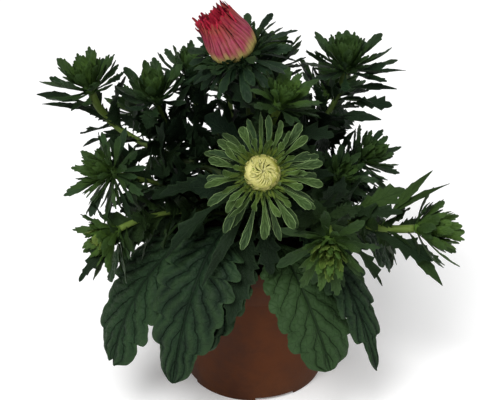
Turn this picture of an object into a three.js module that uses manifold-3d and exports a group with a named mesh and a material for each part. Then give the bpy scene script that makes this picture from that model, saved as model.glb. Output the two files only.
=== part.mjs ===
// A China aster in a round plastic pot, in millimetres, +Z up, the origin on the pot's axis at its foot.
// The plant has a main stem with the first flower on top, side stems that each end in a leafy head,
// and large toothed leaves that hang over the rim.
import * as THREE from 'three';
import { mergeVertices } from 'three/addons/utils/BufferGeometryUtils.js';
import Module from 'manifold-3d';

const wasm = await Module();
wasm.setup();

// Pot
const potHeight = 103;
const potSides = 28;
const rimRadius = 60;
const footRadius = 43;
const collarHeight = 24;
const collarStep = 1.6;
const wall = 1.5;
const footHeight = 2.4;
const footWidth = 4;
const centrePadRadius = 10;
const drainHoles = 6;
const drainHoleRadius = 4;
const drainHoleCircle = 26;
const footNotches = 4;
const footNotchWidth = 25;
const footNotchAngle = -72;

// Soil
const soilTop = 91;
const soilLump = 1.6;
const clearance = 0.3;
const stemHoleDepth = 24;

// Stems
const mainStemRadius = 3.4;
const mainStemSteps = 9;
const sideStemRadius = 1.9;
const sideStemSteps = 6;
const jointOffset = 6;

// Blades
const keelDepth = 1.1;
const leafThickness = 1.1;
const bladeGap = 0.35;
const leafCup = 0.16;
const bractCup = 0.12;
const bractHang = 0.18;
const bractStray = 8;
const whorlRise = 2;
const receptacleFoot = 0.6;

const rad = THREE.MathUtils.degToRad;
const fullTurn = Math.PI * 2;
const goldenAngle = 137.508;
const up = new THREE.Vector3(0, 0, 1);
const vec = (list) => new THREE.Vector3(...list);

// A repeatable draw from 0 to 1 for each number.
function draw(key) {
  const x = Math.sin(key * 12.9898) * 43758.5453;
  return x - Math.floor(x);
}

// A repeatable draw from -1 to 1.
const sway = (key) => 2 * draw(key) - 1;

// Solids and booleans

function solidFrom(positions, triangles) {
  const mesh = new wasm.Mesh({
    numProp: 3,
    vertProperties: new Float32Array(positions),
    triVerts: new Uint32Array(triangles),
  });
  return new wasm.Manifold(mesh);
}

// A closed geometry as a solid, turned right side out.
function solidOf(geometry) {
  const bare = geometry.index ? geometry.toNonIndexed() : geometry.clone();
  bare.deleteAttribute('normal');
  bare.deleteAttribute('uv');
  const merged = mergeVertices(bare, 1e-3);
  const positions = merged.attributes.position.array;
  const triangles = Array.from(merged.index.array);
  const solid = solidFrom(positions, triangles);
  if (solid.volume() > 0) return solid;
  return solidFrom(positions, triangles.reverse());
}

// The largest body of a union, with sealed hollows filled and loose scraps dropped.
function fused(solids) {
  const bodies = wasm.Manifold.union(solids).simplify(0.02).decompose();
  return bodies.reduce((best, body) => (body.volume() > best.volume() ? body : best));
}

function geometryOf(solid) {
  const mesh = solid.getMesh();
  const geometry = new THREE.BufferGeometry();
  geometry.setAttribute('position', new THREE.BufferAttribute(mesh.vertProperties, 3));
  geometry.setIndex(new THREE.BufferAttribute(mesh.triVerts, 1));
  geometry.computeVertexNormals();
  return geometry;
}

// Every solid placed so far, with the node it belongs to, so that later blades keep clear of it.
const placed = [];

function place(owner, solid) {
  placed.push({ owner, solid, box: solid.boundingBox() });
  return solid;
}

function boxesNear(a, b) {
  return [0, 1, 2].every((i) => a.min[i] < b.max[i] + bladeGap && b.min[i] < a.max[i] + bladeGap);
}

function isClear(owner, solid) {
  const box = solid.boundingBox();
  return placed.every((other) => {
    if (other.owner === owner || !boxesNear(box, other.box)) return true;
    return solid.minGap(other.solid, bladeGap + 0.1) > bladeGap;
  });
}

// Blades

// The circular arc from root to tip that turns by bend degrees, with its frame at each station.
// side lies across the blade and the arc bulges to the blade's upper face.
function arcSpine(root, tip, side, bend) {
  const chord = tip.clone().sub(root);
  const length = chord.length();
  const along = chord.clone().normalize();
  const face = along.clone().cross(side).normalize();
  const across = face.clone().cross(along);
  const turn = rad(Math.abs(bend) < 1 ? 1 : bend);
  const scale = length / (2 * Math.sin(turn / 2));
  return (s) => {
    const angle = turn * (s - 0.5);
    const forward = (Math.sin(angle) + Math.sin(turn / 2)) * scale;
    const lift = (Math.cos(angle) - Math.cos(turn / 2)) * scale;
    return {
      point: root.clone().addScaledVector(along, forward).addScaledVector(face, lift),
      across,
      face: face.clone().multiplyScalar(Math.cos(angle)).addScaledVector(along, Math.sin(angle)),
    };
  };
}

// A closed strip through rings of points to a tip point. Its root is a point too, or the first ring itself.
function closedStrip(rings, tipPoint, rootPoint = null) {
  const size = rings[0].length;
  const ends = rootPoint ? [tipPoint, rootPoint] : [tipPoint];
  const positions = [...rings.flat(), ...ends].flatMap((p) => [p.x, p.y, p.z]);
  const tipIndex = rings.length * size;
  const last = tipIndex - size;
  const triangles = [];
  for (let i = 0; i < size; i++) {
    const next = (i + 1) % size;
    if (rootPoint) triangles.push(tipIndex + 1, next, i);
    else if (i > 1) triangles.push(0, i, i - 1);
    for (let a = 0; a < last; a += size) {
      triangles.push(a + i, a + next, a + next + size);
      triangles.push(a + i, a + next + size, a + i + size);
    }
    triangles.push(last + i, last + next, tipIndex);
  }
  const solid = solidFrom(positions, triangles);
  return solid.volume() > 0 ? solid : solidFrom(positions, triangles.reverse());
}

// A narrow blade with a keel: three points to a station, two edges raised by the cup and one below.
// It grows from a socket, three points of what carries it, or else from a point inside that.
function keeledBlade(spine, { outline, width, cup, socket }) {
  const rings = outline.map(([s, w]) => {
    const { point, across, face } = spine(s);
    const half = (w * width) / 2;
    return [
      point.clone().addScaledVector(across, half).addScaledVector(face, cup * half),
      point.clone().addScaledVector(across, -half).addScaledVector(face, cup * half),
      point.clone().addScaledVector(face, -keelDepth),
    ];
  });
  if (socket) return closedStrip([socket, ...rings], spine(1).point);
  return closedStrip(rings, spine(1).point, spine(0).point);
}

// Outlines: pairs of the place along the blade and the share of its full width there, from the pointed root
// inside what it grows from to the tip.
const longBractOutline = [[0.4, 0.44], [0.82, 1]];
const bractOutline = [[0.76, 1]];
const lanceOutline = [[0.14, 0.26], [0.55, 1], [0.64, 0.76]];
const toothedOutline = [[0.12, 0.13], [0.44, 0.94], [0.53, 0.7], [0.68, 1]];

// The changes of direction and length that a blade may take to keep clear of its neighbours.
const variants = [1, 0.85, 0.7, 0.55].flatMap((scale) =>
  [0, 12, -12, 24, -24].flatMap((turn) => [0, 12, -12, 24].map((lift) => ({ scale, turn, lift }))),
);

// The first variant of a blade that is clear of the other nodes, or nothing.
function firstClear(owner, makeBlade) {
  for (const variant of variants) {
    const blade = makeBlade(variant);
    if (isClear(owner, blade)) {
      place(owner, blade);
      return;
    }
  }
}

// A blade that leaves a stem or receptacle at an angle from its axis, turned about it by phi.
// hang makes those below the axis longer, lean those on its +X side.
function radialBlade(frame, spec, variant) {
  const theta = rad(spec.theta - variant.lift);
  const outward = outwardAt(frame, spec.phi + spec.stray + variant.turn);
  const heading = alongAxis(frame, Math.cos(theta)).addScaledVector(outward, Math.sin(theta));
  const favour = 1 - spec.hang * outward.z + spec.lean * outward.x;
  const length = spec.length * variant.scale * favour;
  const tip = spec.root.clone().addScaledVector(heading, length);
  const side = frame.axis.clone().cross(outward).applyAxisAngle(heading, rad(spec.roll));
  return keeledBlade(arcSpine(spec.root, tip, side, spec.bend), spec);
}

// Two directions square to an axis.
function frameAt(at, axis) {
  const reference = Math.abs(axis.z) > 0.9 ? new THREE.Vector3(1, 0, 0) : up;
  const u = reference.clone().cross(axis).normalize();
  return { at, axis, u, v: axis.clone().cross(u) };
}

const alongAxis = (frame, distance) => frame.axis.clone().multiplyScalar(distance);

// The direction square to a frame's axis at an angle about it in degrees.
function outwardAt(frame, angle) {
  const turn = rad(angle);
  return frame.u.clone().multiplyScalar(Math.cos(turn)).addScaledVector(frame.v, Math.sin(turn));
}

// A blade from a point on a stem to a given tip, its upper face up and outwards.
function aimedBlade(root, spec, variant) {
  const chord = vec(spec.tip).sub(root).applyAxisAngle(up, rad(variant.turn));
  const side = up.clone().cross(chord).normalize();
  chord.applyAxisAngle(side, rad(-variant.lift)).multiplyScalar(variant.scale);
  const tip = root.clone().add(chord);
  const rolled = side.applyAxisAngle(chord.normalize(), rad(spec.roll));
  return keeledBlade(arcSpine(root, tip, rolled, spec.bend), spec);
}

// Heads: whorls of bracts from the outermost in, each with its angle from the axis, length as a share
// of the reach, width and bend. All whorls of a head have as many bracts as its receptacle has sides.
const openHead = {
  sides: 14,
  outline: longBractOutline,
  whorls: [
    { theta: 100, share: 1, width: 7.4, bend: 34 },
    { theta: 78, share: 0.94, width: 7.2, bend: 20 },
    { theta: 52, share: 0.6, width: 5.6, bend: -18 },
  ],
};
const showyHead = {
  sides: 12,
  outline: longBractOutline,
  whorls: [
    { theta: 114, share: 0.92, width: 7.6, bend: 46 },
    { theta: 90, share: 1, width: 7.6, bend: 20 },
    { theta: 66, share: 0.78, width: 6.8, bend: 6 },
  ],
};
const cupHead = {
  sides: 7,
  outline: bractOutline,
  whorls: [
    { theta: 80, share: 1, width: 8, bend: -30 },
    { theta: 58, share: 0.98, width: 7.6, bend: -24 },
    { theta: 36, share: 0.9, width: 7, bend: -16 },
    { theta: 14, share: 0.78, width: 6, bend: -8 },
  ],
};
const looseHead = {
  sides: 7,
  outline: bractOutline,
  whorls: [
    { theta: 92, share: 1, width: 8, bend: 20 },
    { theta: 68, share: 0.96, width: 7.6, bend: 6 },
    { theta: 42, share: 0.8, width: 7, bend: -8 },
    { theta: 16, share: 0.6, width: 5.6, bend: -8 },
  ],
};

// Each head: its foot, the way it faces, its reach, form, how far it spreads against its form and its
// receptacle radius, how far up the main stem its side stem joins it, and the leaves of that stem that hold
// a place of their own: how far up the stem they grow, their tip, width, toothed where wide, and roll. The
// first head is the flower on the main stem.
const heads = [
  {
    name: 'pink', at: [-8, 4, 207], aim: [-0.34, -0.2, 0.92],
    reach: 27, form: showyHead, spread: 1, core: 8.6, lean: 0.16,
    leaves: [],
  },
  {
    name: '01', at: [4, -66, 172], aim: [0.02, -0.82, 0.57],
    reach: 23.5, form: openHead, spread: 1, core: 12, joint: 0.31,
    leaves: [
      [0.28, [-13, -84, 86], 22],
      [0.5, [-27, -80, 108], 9],
      [0.4, [8, -68, 108], 15],
      [0.7, [-52, -70, 122], 13],
      [0.74, [25, -68, 136], 10],
      [0.4, [-54, -46, 150], 19],
      [0.42, [48, -46, 150], 19],
    ],
  },
  {
    name: '02', at: [-95, 15, 182], aim: [-0.2, -0.12, 0.95],
    reach: 23, form: cupHead, spread: 0.88, core: 4.2, joint: 0.35,
    leaves: [
      [0.9, [-125, 14, 189], 8, -35],
      [0.84, [-124, 8, 178], 6, -35],
      [0.72, [-111, 6, 179], 8, -30],
    ],
  },
  {
    name: '03', at: [-57, 18, 174], aim: [-0.12, -0.16, 0.98],
    reach: 22, form: cupHead, spread: 0.85, core: 4.2, joint: 0.4,
    leaves: [
      [0.45, [-20, 0, 186], 16],
      [0.3, [-34, -12, 176], 16],
    ],
  },
  {
    name: '04', at: [-38, 40, 177], aim: [0.05, 0.1, 0.99],
    reach: 20.5, form: cupHead, spread: 0.85, core: 4.2, joint: 0.44,
    leaves: [],
  },
  {
    name: '05', at: [13, -22, 190], aim: [0.35, -0.25, 0.9],
    reach: 22, form: looseHead, spread: 0.8, core: 4.2, joint: 0.48,
    leaves: [
      [0.4, [39, -40, 164], 14],
    ],
  },
  {
    name: '06', at: [53, 22, 192], aim: [0.08, -0.1, 0.99],
    reach: 25, form: cupHead, spread: 1.05, core: 4.4, joint: 0.38,
    leaves: [
      [0.92, [85, 14, 205], 6, 35],
      [0.86, [83, 10, 185], 8, 40],
      [0.7, [81, 6, 178], 12, 30],
      [0.6, [74, 0, 173], 9, 30],
    ],
  },
  {
    name: '07', at: [61.5, 4, 142], aim: [0.66, -0.3, 0.66],
    reach: 19.5, form: cupHead, spread: 0.9, core: 4.2, joint: 0.28,
    leaves: [
      [0.5, [61, -34, 146], 14],
      [0.75, [88, 0, 170], 11],
    ],
  },
  {
    name: '08', at: [92, -38, 121], aim: [0.97, -0.16, 0.18],
    reach: 21, form: cupHead, spread: 0.7, core: 4.2, joint: 0.23,
    leaves: [
      [0.5, [86, -34, 160], 15, 60],
      [0.8, [100, -40, 160], 7, 45],
      [0.76, [109, -47, 155], 6, 40],
      [0.62, [103, -50, 105], 17, 50],
      [0.86, [109, -48, 88], 8, 40],
      [0.4, [80, -44, 146], 17, 50],
    ],
  },
  {
    name: '09', at: [41, -72, 136], aim: [-0.1, -0.93, -0.2],
    reach: 25, form: looseHead, spread: 0.85, core: 4.2, joint: 0.26,
    leaves: [
      [0.62, [75, -66, 101], 13],
    ],
  },
  {
    name: '10', at: [-78, -28, 151], aim: [-0.72, -0.5, 0.48],
    reach: 26, form: looseHead, spread: 0.95, core: 4.2, joint: 0.29,
    leaves: [
      [0.5, [-44, -34, 168], 10],
      [0.3, [-31, -34, 142], 16],
      [0.4, [-60, -24, 148], 18],
    ],
  },
  {
    name: '11', at: [-76, -50, 128], aim: [-0.74, -0.5, -0.2],
    reach: 22, form: looseHead, spread: 0.75, core: 4, joint: 0.23,
    leaves: [
      [0.76, [-96, -66, 102], 16],
    ],
  },
  {
    name: '12', at: [47, -16, 142], aim: [0.35, -0.62, 0.7],
    reach: 19, form: looseHead, spread: 0.85, core: 3.8, joint: 0.34,
    leaves: [],
  },
  {
    name: '13', at: [-70, 62, 142], aim: [-0.5, 0.6, 0.62],
    reach: 25, form: looseHead, spread: 0.85, core: 4.2, joint: 0.25,
    leaves: [],
  },
  {
    name: '14', at: [-16, 88, 146], aim: [-0.1, 0.8, 0.6],
    reach: 25, form: cupHead, spread: 0.8, core: 4.2, joint: 0.27,
    leaves: [],
  },
  {
    name: '15', at: [46, 74, 150], aim: [0.4, 0.66, 0.62],
    reach: 25, form: cupHead, spread: 0.8, core: 4.2, joint: 0.31,
    leaves: [],
  },
  {
    name: '16', at: [8, 44, 184], aim: [0.15, 0.5, 0.85],
    reach: 23.5, form: cupHead, spread: 0.85, core: 4.2, joint: 0.5,
    leaves: [],
  },
];

const receptacleHeight = (head) => head.form.whorls.length * whorlRise;
const headFrame = (head) => frameAt(vec(head.at), vec(head.aim).normalize());

// A geometry built along +Z, set into a frame at a height along its axis.
function turned(geometry, frame, height) {
  const basis = new THREE.Matrix4().makeBasis(frame.u, frame.v, frame.axis);
  const foot = frame.at.clone().addScaledVector(frame.axis, height);
  return geometry.applyMatrix4(basis.setPosition(foot));
}

// A point of the receptacle: ring w from the foot up, corner i. Each ring is turned half a side on the one
// below it, so that triangles fill the bands between them.
function receptaclePoint(head, w, i) {
  const frame = headFrame(head);
  const radius = head.core * (w ? 1 : receptacleFoot);
  const angle = ((i + 0.5 * w) * 360) / head.form.sides;
  return frame.at.clone().addScaledVector(frame.axis, w * whorlRise)
    .addScaledVector(outwardAt(frame, angle), radius);
}

// The receptacle: a small many-sided drum with a band of triangles for each whorl and flat ends.
function receptacle(head) {
  const rows = head.form.whorls.length + 1;
  const sides = head.form.sides;
  const points = [];
  const triangles = [];
  for (let w = 0; w < rows; w++) {
    for (let i = 0; i < sides; i++) points.push(receptaclePoint(head, w, i));
  }
  for (let i = 0; i < sides; i++) {
    const next = (i + 1) % sides;
    for (let a = 0; a < points.length - sides; a += sides) {
      triangles.push(a + i, a + next, a + i + sides);
      triangles.push(a + next, a + next + sides, a + i + sides);
    }
    if (i < 2) continue;
    const top = points.length - sides;
    triangles.push(0, i, i - 1, top, top + i - 1, top + i);
  }
  return solidFrom(points.flatMap((p) => [p.x, p.y, p.z]), triangles);
}

// Each bract grows from a triangle of the receptacle: two corners of the ring above, one of that below.
function headBlades(head, owner, index) {
  const frame = headFrame(head);
  const { sides, outline, whorls } = head.form;
  whorls.forEach((whorl, w) => {
    for (let i = 0; i < sides; i++) {
      const key = index * 97 + w * 31 + i;
      const above = receptaclePoint(head, w + 1, i);
      const beside = receptaclePoint(head, w + 1, i - 1);
      const spec = {
        socket: [above, beside, receptaclePoint(head, w, i)],
        root: above.clone().lerp(beside, 0.5),
        phi: ((i + 0.5 * w) * 360) / sides,
        stray: bractStray * sway(key + 0.1),
        theta: whorl.theta * head.spread + 8 * sway(key + 0.2),
        length: head.reach * whorl.share * (1 + 0.14 * sway(key + 0.3)),
        hang: bractHang,
        lean: head.lean ?? 0,
        width: whorl.width,
        bend: whorl.bend + 14 * sway(key + 0.4),
        roll: 16 * sway(key + 0.5),
        outline,
        cup: bractCup,
      };
      firstClear(owner, (variant) => radialBlade(frame, spec, variant));
    }
  });
}

// Stems

// The point behind a head's foot at a distance along its axis.
const behind = (head, distance) => vec(head.at).addScaledVector(vec(head.aim).normalize(), -distance);

const mainStemCurve = new THREE.CubicBezierCurve3(
  new THREE.Vector3(0, 0, soilTop - stemHoleDepth + 1),
  new THREE.Vector3(0, 0, 130),
  behind(heads[0], 30),
  behind(heads[0], clearance),
);

function tube(curve, radius, sides, steps) {
  const section = new THREE.Shape();
  for (let i = 0; i < sides; i++) {
    const angle = (fullTurn * i) / sides;
    section[i ? 'lineTo' : 'moveTo'](radius * Math.cos(angle), radius * Math.sin(angle));
  }
  return solidOf(new THREE.ExtrudeGeometry(section, { steps, extrudePath: curve, bevelEnabled: false }));
}

// The side stem leaves the main stem outwards and up, and comes to the head's foot from behind.
function sideStemCurve(head) {
  const heading = new THREE.Vector3(head.at[0], head.at[1], 0).normalize();
  const start = mainStemCurve.getPoint(head.joint).addScaledVector(heading, jointOffset);
  const span = start.distanceTo(vec(head.at));
  return new THREE.CubicBezierCurve3(
    start,
    start.clone().addScaledVector(heading, span * 0.3).addScaledVector(up, span * 0.12),
    behind(head, span * 0.36),
    behind(head, clearance),
  );
}

// Leaves of a side stem, by rule: round the stem by the golden angle, long and toothed below, short and
// narrow near the head.
const leavesPerStem = 8;
const toothedPerStem = 4;
const rootDepth = 1.2;

function stemBlades(head, owner, index, curve) {
  for (let i = 0; i < leavesPerStem; i++) {
    const key = index * 53 + i + 700;
    const height = i / (leavesPerStem - 1);
    const t = 0.26 + 0.68 * height;
    const frame = frameAt(curve.getPoint(t), curve.getTangent(t));
    const low = i < toothedPerStem;
    const phi = i * goldenAngle + index * 40;
    const spec = {
      root: frame.at.clone().addScaledVector(outwardAt(frame, phi), -rootDepth),
      phi,
      stray: 12 * sway(key + 0.1),
      theta: 60 + 10 * sway(key + 0.2),
      length: (50 - 26 * height) * (1 + 0.15 * sway(key + 0.3)),
      hang: 0,
      lean: 0,
      width: low ? 22 : 9,
      bend: 34 + 14 * sway(key + 0.4),
      roll: 20 * sway(key + 0.5),
      outline: low ? toothedOutline : lanceOutline,
      cup: leafCup,
    };
    firstClear(owner, (variant) => radialBlade(frame, spec, variant));
  }
}

// The leaves that hold a place of their own.
function ownPlaceBlades(head, owner, index, curve) {
  head.leaves.forEach(([t, tip, width, roll = 0], i) => {
    const key = index * 41 + i + 2500;
    const outline = width > 11 ? toothedOutline : lanceOutline;
    const bend = 40 + 10 * sway(key);
    const spec = { tip, width, outline, bend, roll: roll + 12 * sway(key + 0.5), cup: leafCup };
    firstClear(owner, (variant) => aimedBlade(curve.getPoint(t), spec, variant));
  });
}

// Basal leaves

// Each: the way its stalk crosses the rim in degrees, its tip, blade width, how far its arch lies above the
// lowest leaves', how much it rolls to one side and how blunt its end is.
const basalLeaves = [
  { rim: 221, tip: [-84, -59, 40], width: 44, arch: 3, roll: -8, blunt: 1.5 },
  { rim: 251, tip: [-47, -85, 46], width: 47, arch: 17, roll: -4, blunt: 1.2 },
  { rim: 264, tip: [-29, -80, 64], width: 33, arch: 5, roll: 0, blunt: 1.1 },
  { rim: 285, tip: [44, -82, 53], width: 43, arch: 3, roll: 2, blunt: 1.6 },
  { rim: 298, tip: [72, -67, 41], width: 30, arch: 18, roll: 8, blunt: 0.8 },
  { rim: 350, tip: [84, -2, 70], width: 40, arch: 3, roll: 0, blunt: 1.2 },
  { rim: 20, tip: [88, 38, 46], width: 44, arch: 13, roll: 4, blunt: 1.3 },
  { rim: 52, tip: [56, 78, 50], width: 44, arch: 3, roll: -4, blunt: 1 },
  { rim: 84, tip: [8, 96, 44], width: 44, arch: 13, roll: 0, blunt: 1.4 },
  { rim: 116, tip: [-44, 84, 48], width: 44, arch: 3, roll: 4, blunt: 1.2 },
  { rim: 148, tip: [-84, 50, 44], width: 44, arch: 13, roll: -4, blunt: 1 },
  { rim: 184, tip: [-90, 0, 62], width: 40, arch: 3, roll: 0, blunt: 1.3 },
];

// Half widths along a basal leaf: stalk, round base, blunt forward teeth, tip.
const basalOutline = [
  [0.04, 0.075], [0.2, 0.06], [0.37, 0.07], [0.43, 0.54], [0.5, 0.86],
  [0.53, 0.78], [0.6, 1], [0.635, 0.88], [0.7, 1.02], [0.735, 0.87],
  [0.8, 0.95], [0.83, 0.77], [0.89, 0.7], [0.92, 0.54], [0.965, 0.42],
];
const basalShoulder = 0.84;

// The leaf rises from the crown, passes over the rim and hangs down outside.
function basalCurve(leaf) {
  const tip = vec(leaf.tip);
  const overRim = new THREE.Vector3(Math.cos(rad(leaf.rim)), Math.sin(rad(leaf.rim)), 0);
  const outside = new THREE.Vector3(tip.x, tip.y, 0).normalize().lerp(overRim, 0.6).normalize();
  const reach = Math.hypot(tip.x, tip.y);
  return new THREE.CubicBezierCurve3(
    overRim.clone().multiplyScalar(8 + leaf.arch * 0.3).setZ(95 + leaf.arch * 0.35),
    overRim.clone().multiplyScalar(38).setZ(124 + leaf.arch),
    outside.multiplyScalar(reach - 13 + leaf.arch * 0.3).setZ(107 + leaf.arch * 1.3),
    tip,
  );
}

// A broad leaf of plate section: three points above and three below at each station, the halves folded
// down a little from the midrib and waved along their edges.
function basalLeaf(leaf, index) {
  const curve = basalCurve(leaf);
  const across0 = new THREE.Vector3(-leaf.tip[1], leaf.tip[0], 0).normalize();
  const rings = basalOutline.map(([s, w], k) => {
    const point = curve.getPoint(s);
    const along = curve.getTangent(s);
    const across = across0.clone().applyAxisAngle(along, rad(leaf.roll));
    const face = across.clone().cross(along).multiplyScalar(-1);
    const full = s > basalShoulder ? w * leaf.blunt : w;
    const half = (full * leaf.width) / 2;
    const stalk = w < 0.1;
    const droop = stalk ? 0 : -0.1 * half;
    const wave = stalk ? 0 : 1.2 * Math.sin(k * 1.9 + index);
    const thick = stalk ? 3 : leafThickness;
    const at = (x, lift) => point.clone().addScaledVector(across, x).addScaledVector(face, lift);
    return [
      at(half, droop + wave + thick / 2),
      at(0, thick / 2),
      at(-half, droop - wave + thick / 2),
      at(-half, droop - wave - thick / 2),
      at(0, -thick / 2),
      at(half, droop + wave - thick / 2),
    ];
  });
  return closedStrip(rings, curve.getPoint(1), curve.getPoint(0));
}

// Petals and bud

// Ragged tubes of strap petals, one inside the other: ridge and groove round each, free tips on top.
const petalLayers = [
  { count: 20, foot: 8, belly: 14, mouth: 11.6, height: 25.5, ragged: 6 },
  { count: 10, foot: 5, belly: 9.4, mouth: 7.4, height: 23, ragged: 7 },
];

const petalFloor = 3;
const petalThickness = 1.6;
const grooveDepth = 0.9;

function petalTube(layer, seed) {
  const columns = layer.count * 2;
  const floor = petalFloor;
  const inner = petalThickness;
  const profile = [
    () => [layer.foot, 0],
    () => [(layer.foot + layer.belly) / 2 + 1.5, layer.height * 0.18],
    () => [layer.belly, layer.height * 0.55],
    (tip) => [layer.mouth, layer.height + tip],
    () => [layer.mouth - inner, layer.height * 0.78],
    () => [layer.foot - inner, floor],
  ];
  const points = [];
  profile.forEach((ring, r) => {
    for (let c = 0; c < columns; c++) {
      const ridge = c % 2 === 0;
      const tip = ridge ? layer.ragged * (0.3 + 0.7 * draw(seed + c)) : -layer.ragged * 0.5;
      const [reach, z] = ring(tip);
      const radius = ridge || r === 0 || r > 3 ? reach : reach - grooveDepth;
      const angle = (fullTurn * c) / columns;
      points.push([radius * Math.cos(angle), radius * Math.sin(angle), z]);
    }
  });
  return latticeSolid(points, profile.length, columns, [0, 0, 0], [0, 0, floor]);
}

// Rings of points joined round and closed by a centre point at each end.
function latticeSolid(points, rows, columns, first, last) {
  const positions = [...points.flat(), ...first, ...last];
  const foot = rows * columns;
  const triangles = [];
  for (let c = 0; c < columns; c++) {
    const next = (c + 1) % columns;
    triangles.push(foot, next, c);
    for (let r = 0; r < rows - 1; r++) {
      const a = r * columns + c;
      const b = r * columns + next;
      triangles.push(a, b, b + columns, a, b + columns, a + columns);
    }
    const top = (rows - 1) * columns;
    triangles.push(top + c, top + next, foot + 1);
  }
  const geometry = new THREE.BufferGeometry();
  geometry.setAttribute('position', new THREE.BufferAttribute(new Float32Array(positions), 3));
  geometry.setIndex(triangles);
  return geometry;
}

// The pale bud: a dome with petal folds that spiral to its top.
const budRadius = 9.8;
const budHeight = 8.6;
const budFolds = 13;

function budGeometry() {
  const rows = 7;
  const columns = budFolds * 2;
  const points = [];
  for (let r = 0; r < rows; r++) {
    const rise = (r / rows) * 90;
    for (let c = 0; c < columns; c++) {
      const fold = c % 2 ? 0.9 : 1;
      const angle = (fullTurn * c) / columns + rad(rise * 0.9);
      const radius = budRadius * Math.cos(rad(rise)) * fold;
      points.push([radius * Math.cos(angle), radius * Math.sin(angle), budHeight * Math.sin(rad(rise))]);
    }
  }
  return latticeSolid(points, rows, columns, [0, 0, 0], [0, 0, budHeight]);
}

// Pot and soil

// Outer and inner radius of the pot's wall at a height.
const wallRadius = (z) => footRadius + ((rimRadius - collarStep - footRadius) * z) / potHeight;
const collarFoot = potHeight - collarHeight;
const innerRadius = (z) => wallRadius(z) - wall + (z > collarFoot ? collarStep : 0);

function lathe(profile, sides) {
  const points = profile.map(([r, z]) => new THREE.Vector2(r, z));
  return new THREE.LatheGeometry(points, sides).rotateX(Math.PI / 2);
}

function cylinder(radius, height, sides, x, y, z) {
  const geometry = new THREE.CylinderGeometry(radius, radius, height, sides);
  return solidOf(geometry.rotateX(Math.PI / 2).translate(x, y, z));
}

function pot() {
  const floor = footHeight + wall;
  const profile = [
    [0, 0],
    [centrePadRadius, 0],
    [centrePadRadius + 0.8, footHeight],
    [footRadius - footWidth - 0.6, footHeight],
    [footRadius - footWidth, 0],
    [footRadius - 0.6, 0],
    [wallRadius(1), 1],
    [wallRadius(collarFoot), collarFoot],
    [wallRadius(collarFoot) + collarStep, collarFoot + 0.8],
    [rimRadius, potHeight - 1],
    [rimRadius - 0.7, potHeight],
    [innerRadius(potHeight) + 0.3, potHeight],
    [innerRadius(collarFoot + 2), collarFoot + 2],
    [innerRadius(collarFoot), collarFoot - 0.5],
    [innerRadius(floor), floor],
    [0, floor],
  ];
  const shell = solidOf(lathe(profile, potSides));
  const cuts = [];
  for (let i = 0; i < drainHoles; i++) {
    const angle = (fullTurn * i) / drainHoles;
    const x = drainHoleCircle * Math.cos(angle);
    cuts.push(cylinder(drainHoleRadius, 12, 8, x, drainHoleCircle * Math.sin(angle), footHeight));
  }
  for (let i = 0; i < footNotches; i++) {
    const notch = new THREE.BoxGeometry(footWidth * 3, footNotchWidth, footHeight * 2);
    notch.translate(footRadius, 0, 0).rotateZ(rad(footNotchAngle) + (fullTurn * i) / footNotches);
    cuts.push(solidOf(notch));
  }
  return cuts.reduce((solid, cut) => solid.subtract(cut), shell);
}

// The soil fills the pot up to a lumpy top, with a hole where the stem stands.
function soil() {
  const floor = footHeight + wall + clearance;
  const side = (z) => innerRadius(z) - clearance - 0.3;
  const profile = [
    [0, floor],
    [side(floor), floor],
    [side(collarFoot - 2), collarFoot + 0.5],
    [side(collarFoot + 3), collarFoot + 3],
    [side(soilTop), soilTop],
    [side(soilTop) - 12, soilTop + 1],
    [28, soilTop],
    [13, soilTop],
    [0, soilTop],
  ];
  const body = lathe(profile, potSides / 2);
  const position = body.attributes.position;
  for (let i = 0; i < position.count; i++) {
    const [x, y, z] = [position.getX(i), position.getY(i), position.getZ(i)];
    const reach = Math.hypot(x, y);
    if (z < soilTop - 1 || reach > side(soilTop) - 1) continue;
    const lump = Math.sin(x * 0.61 + 2) * Math.sin(y * 0.53) + 0.6 * Math.sin(x * 0.27 - y * 0.33);
    position.setZ(i, z + soilLump * lump);
  }
  const hole = cylinder(mainStemRadius + 0.9, stemHoleDepth * 2, 12, 0, 0, soilTop);
  return solidOf(body).subtract(hole);
}

// Materials

const finish = (color, roughness) => new THREE.MeshStandardMaterial({ color, roughness, metalness: 0 });
const potPlastic = finish(0x6d4130, 0.6);
const soilPeat = finish(0x1c1612, 0.95);
const leafGreen = finish(0x2f4a30, 0.55);
const basalGreen = finish(0x3a5a3c, 0.5);
const bractGreen = finish(0x3a5a30, 0.6);
const petalPink = finish(0xa3365a, 0.6);
const budPale = finish(0xc6c48e, 0.6);

const aster = new THREE.Group();

function add(name, solid, material) {
  const mesh = new THREE.Mesh(geometryOf(solid), material);
  mesh.name = name;
  aster.add(mesh);
}

// What stands first: pot, soil, stems, receptacles, petals and bud. Blades then keep clear of it.
place('pot', pot());
place('soil', soil());
place('main_stem', tube(mainStemCurve, mainStemRadius, 8, mainStemSteps));
const stemCurves = heads.map((head, i) => (i ? sideStemCurve(head) : mainStemCurve));
heads.forEach((head, i) => {
  if (i) place(`stem_${head.name}`, tube(stemCurves[i], sideStemRadius, 4, sideStemSteps));
  place(`head_${head.name}`, receptacle(head));
});

// What sits on a receptacle's flat top.
const onTop = (head, geometry) => turned(geometry, headFrame(head), receptacleHeight(head) + clearance);
const petals = petalLayers.map((layer, i) => solidOf(onTop(heads[0], petalTube(layer, i * 50))));
place('pink_petals', fused(petals));
place('pale_bud', solidOf(onTop(heads[1], budGeometry())));

basalLeaves.forEach((leaf, i) => {
  place(`basal_leaf_${String(i + 1).padStart(2, '0')}`, basalLeaf(leaf, i));
});

const stemName = (head, i) => (i ? `stem_${head.name}` : 'main_stem');
heads.forEach((head, i) => headBlades(head, `head_${head.name}`, i));
heads.forEach((head, i) => ownPlaceBlades(head, stemName(head, i), i, stemCurves[i]));
heads.forEach((head, i) => stemBlades(head, stemName(head, i), i, stemCurves[i]));

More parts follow.
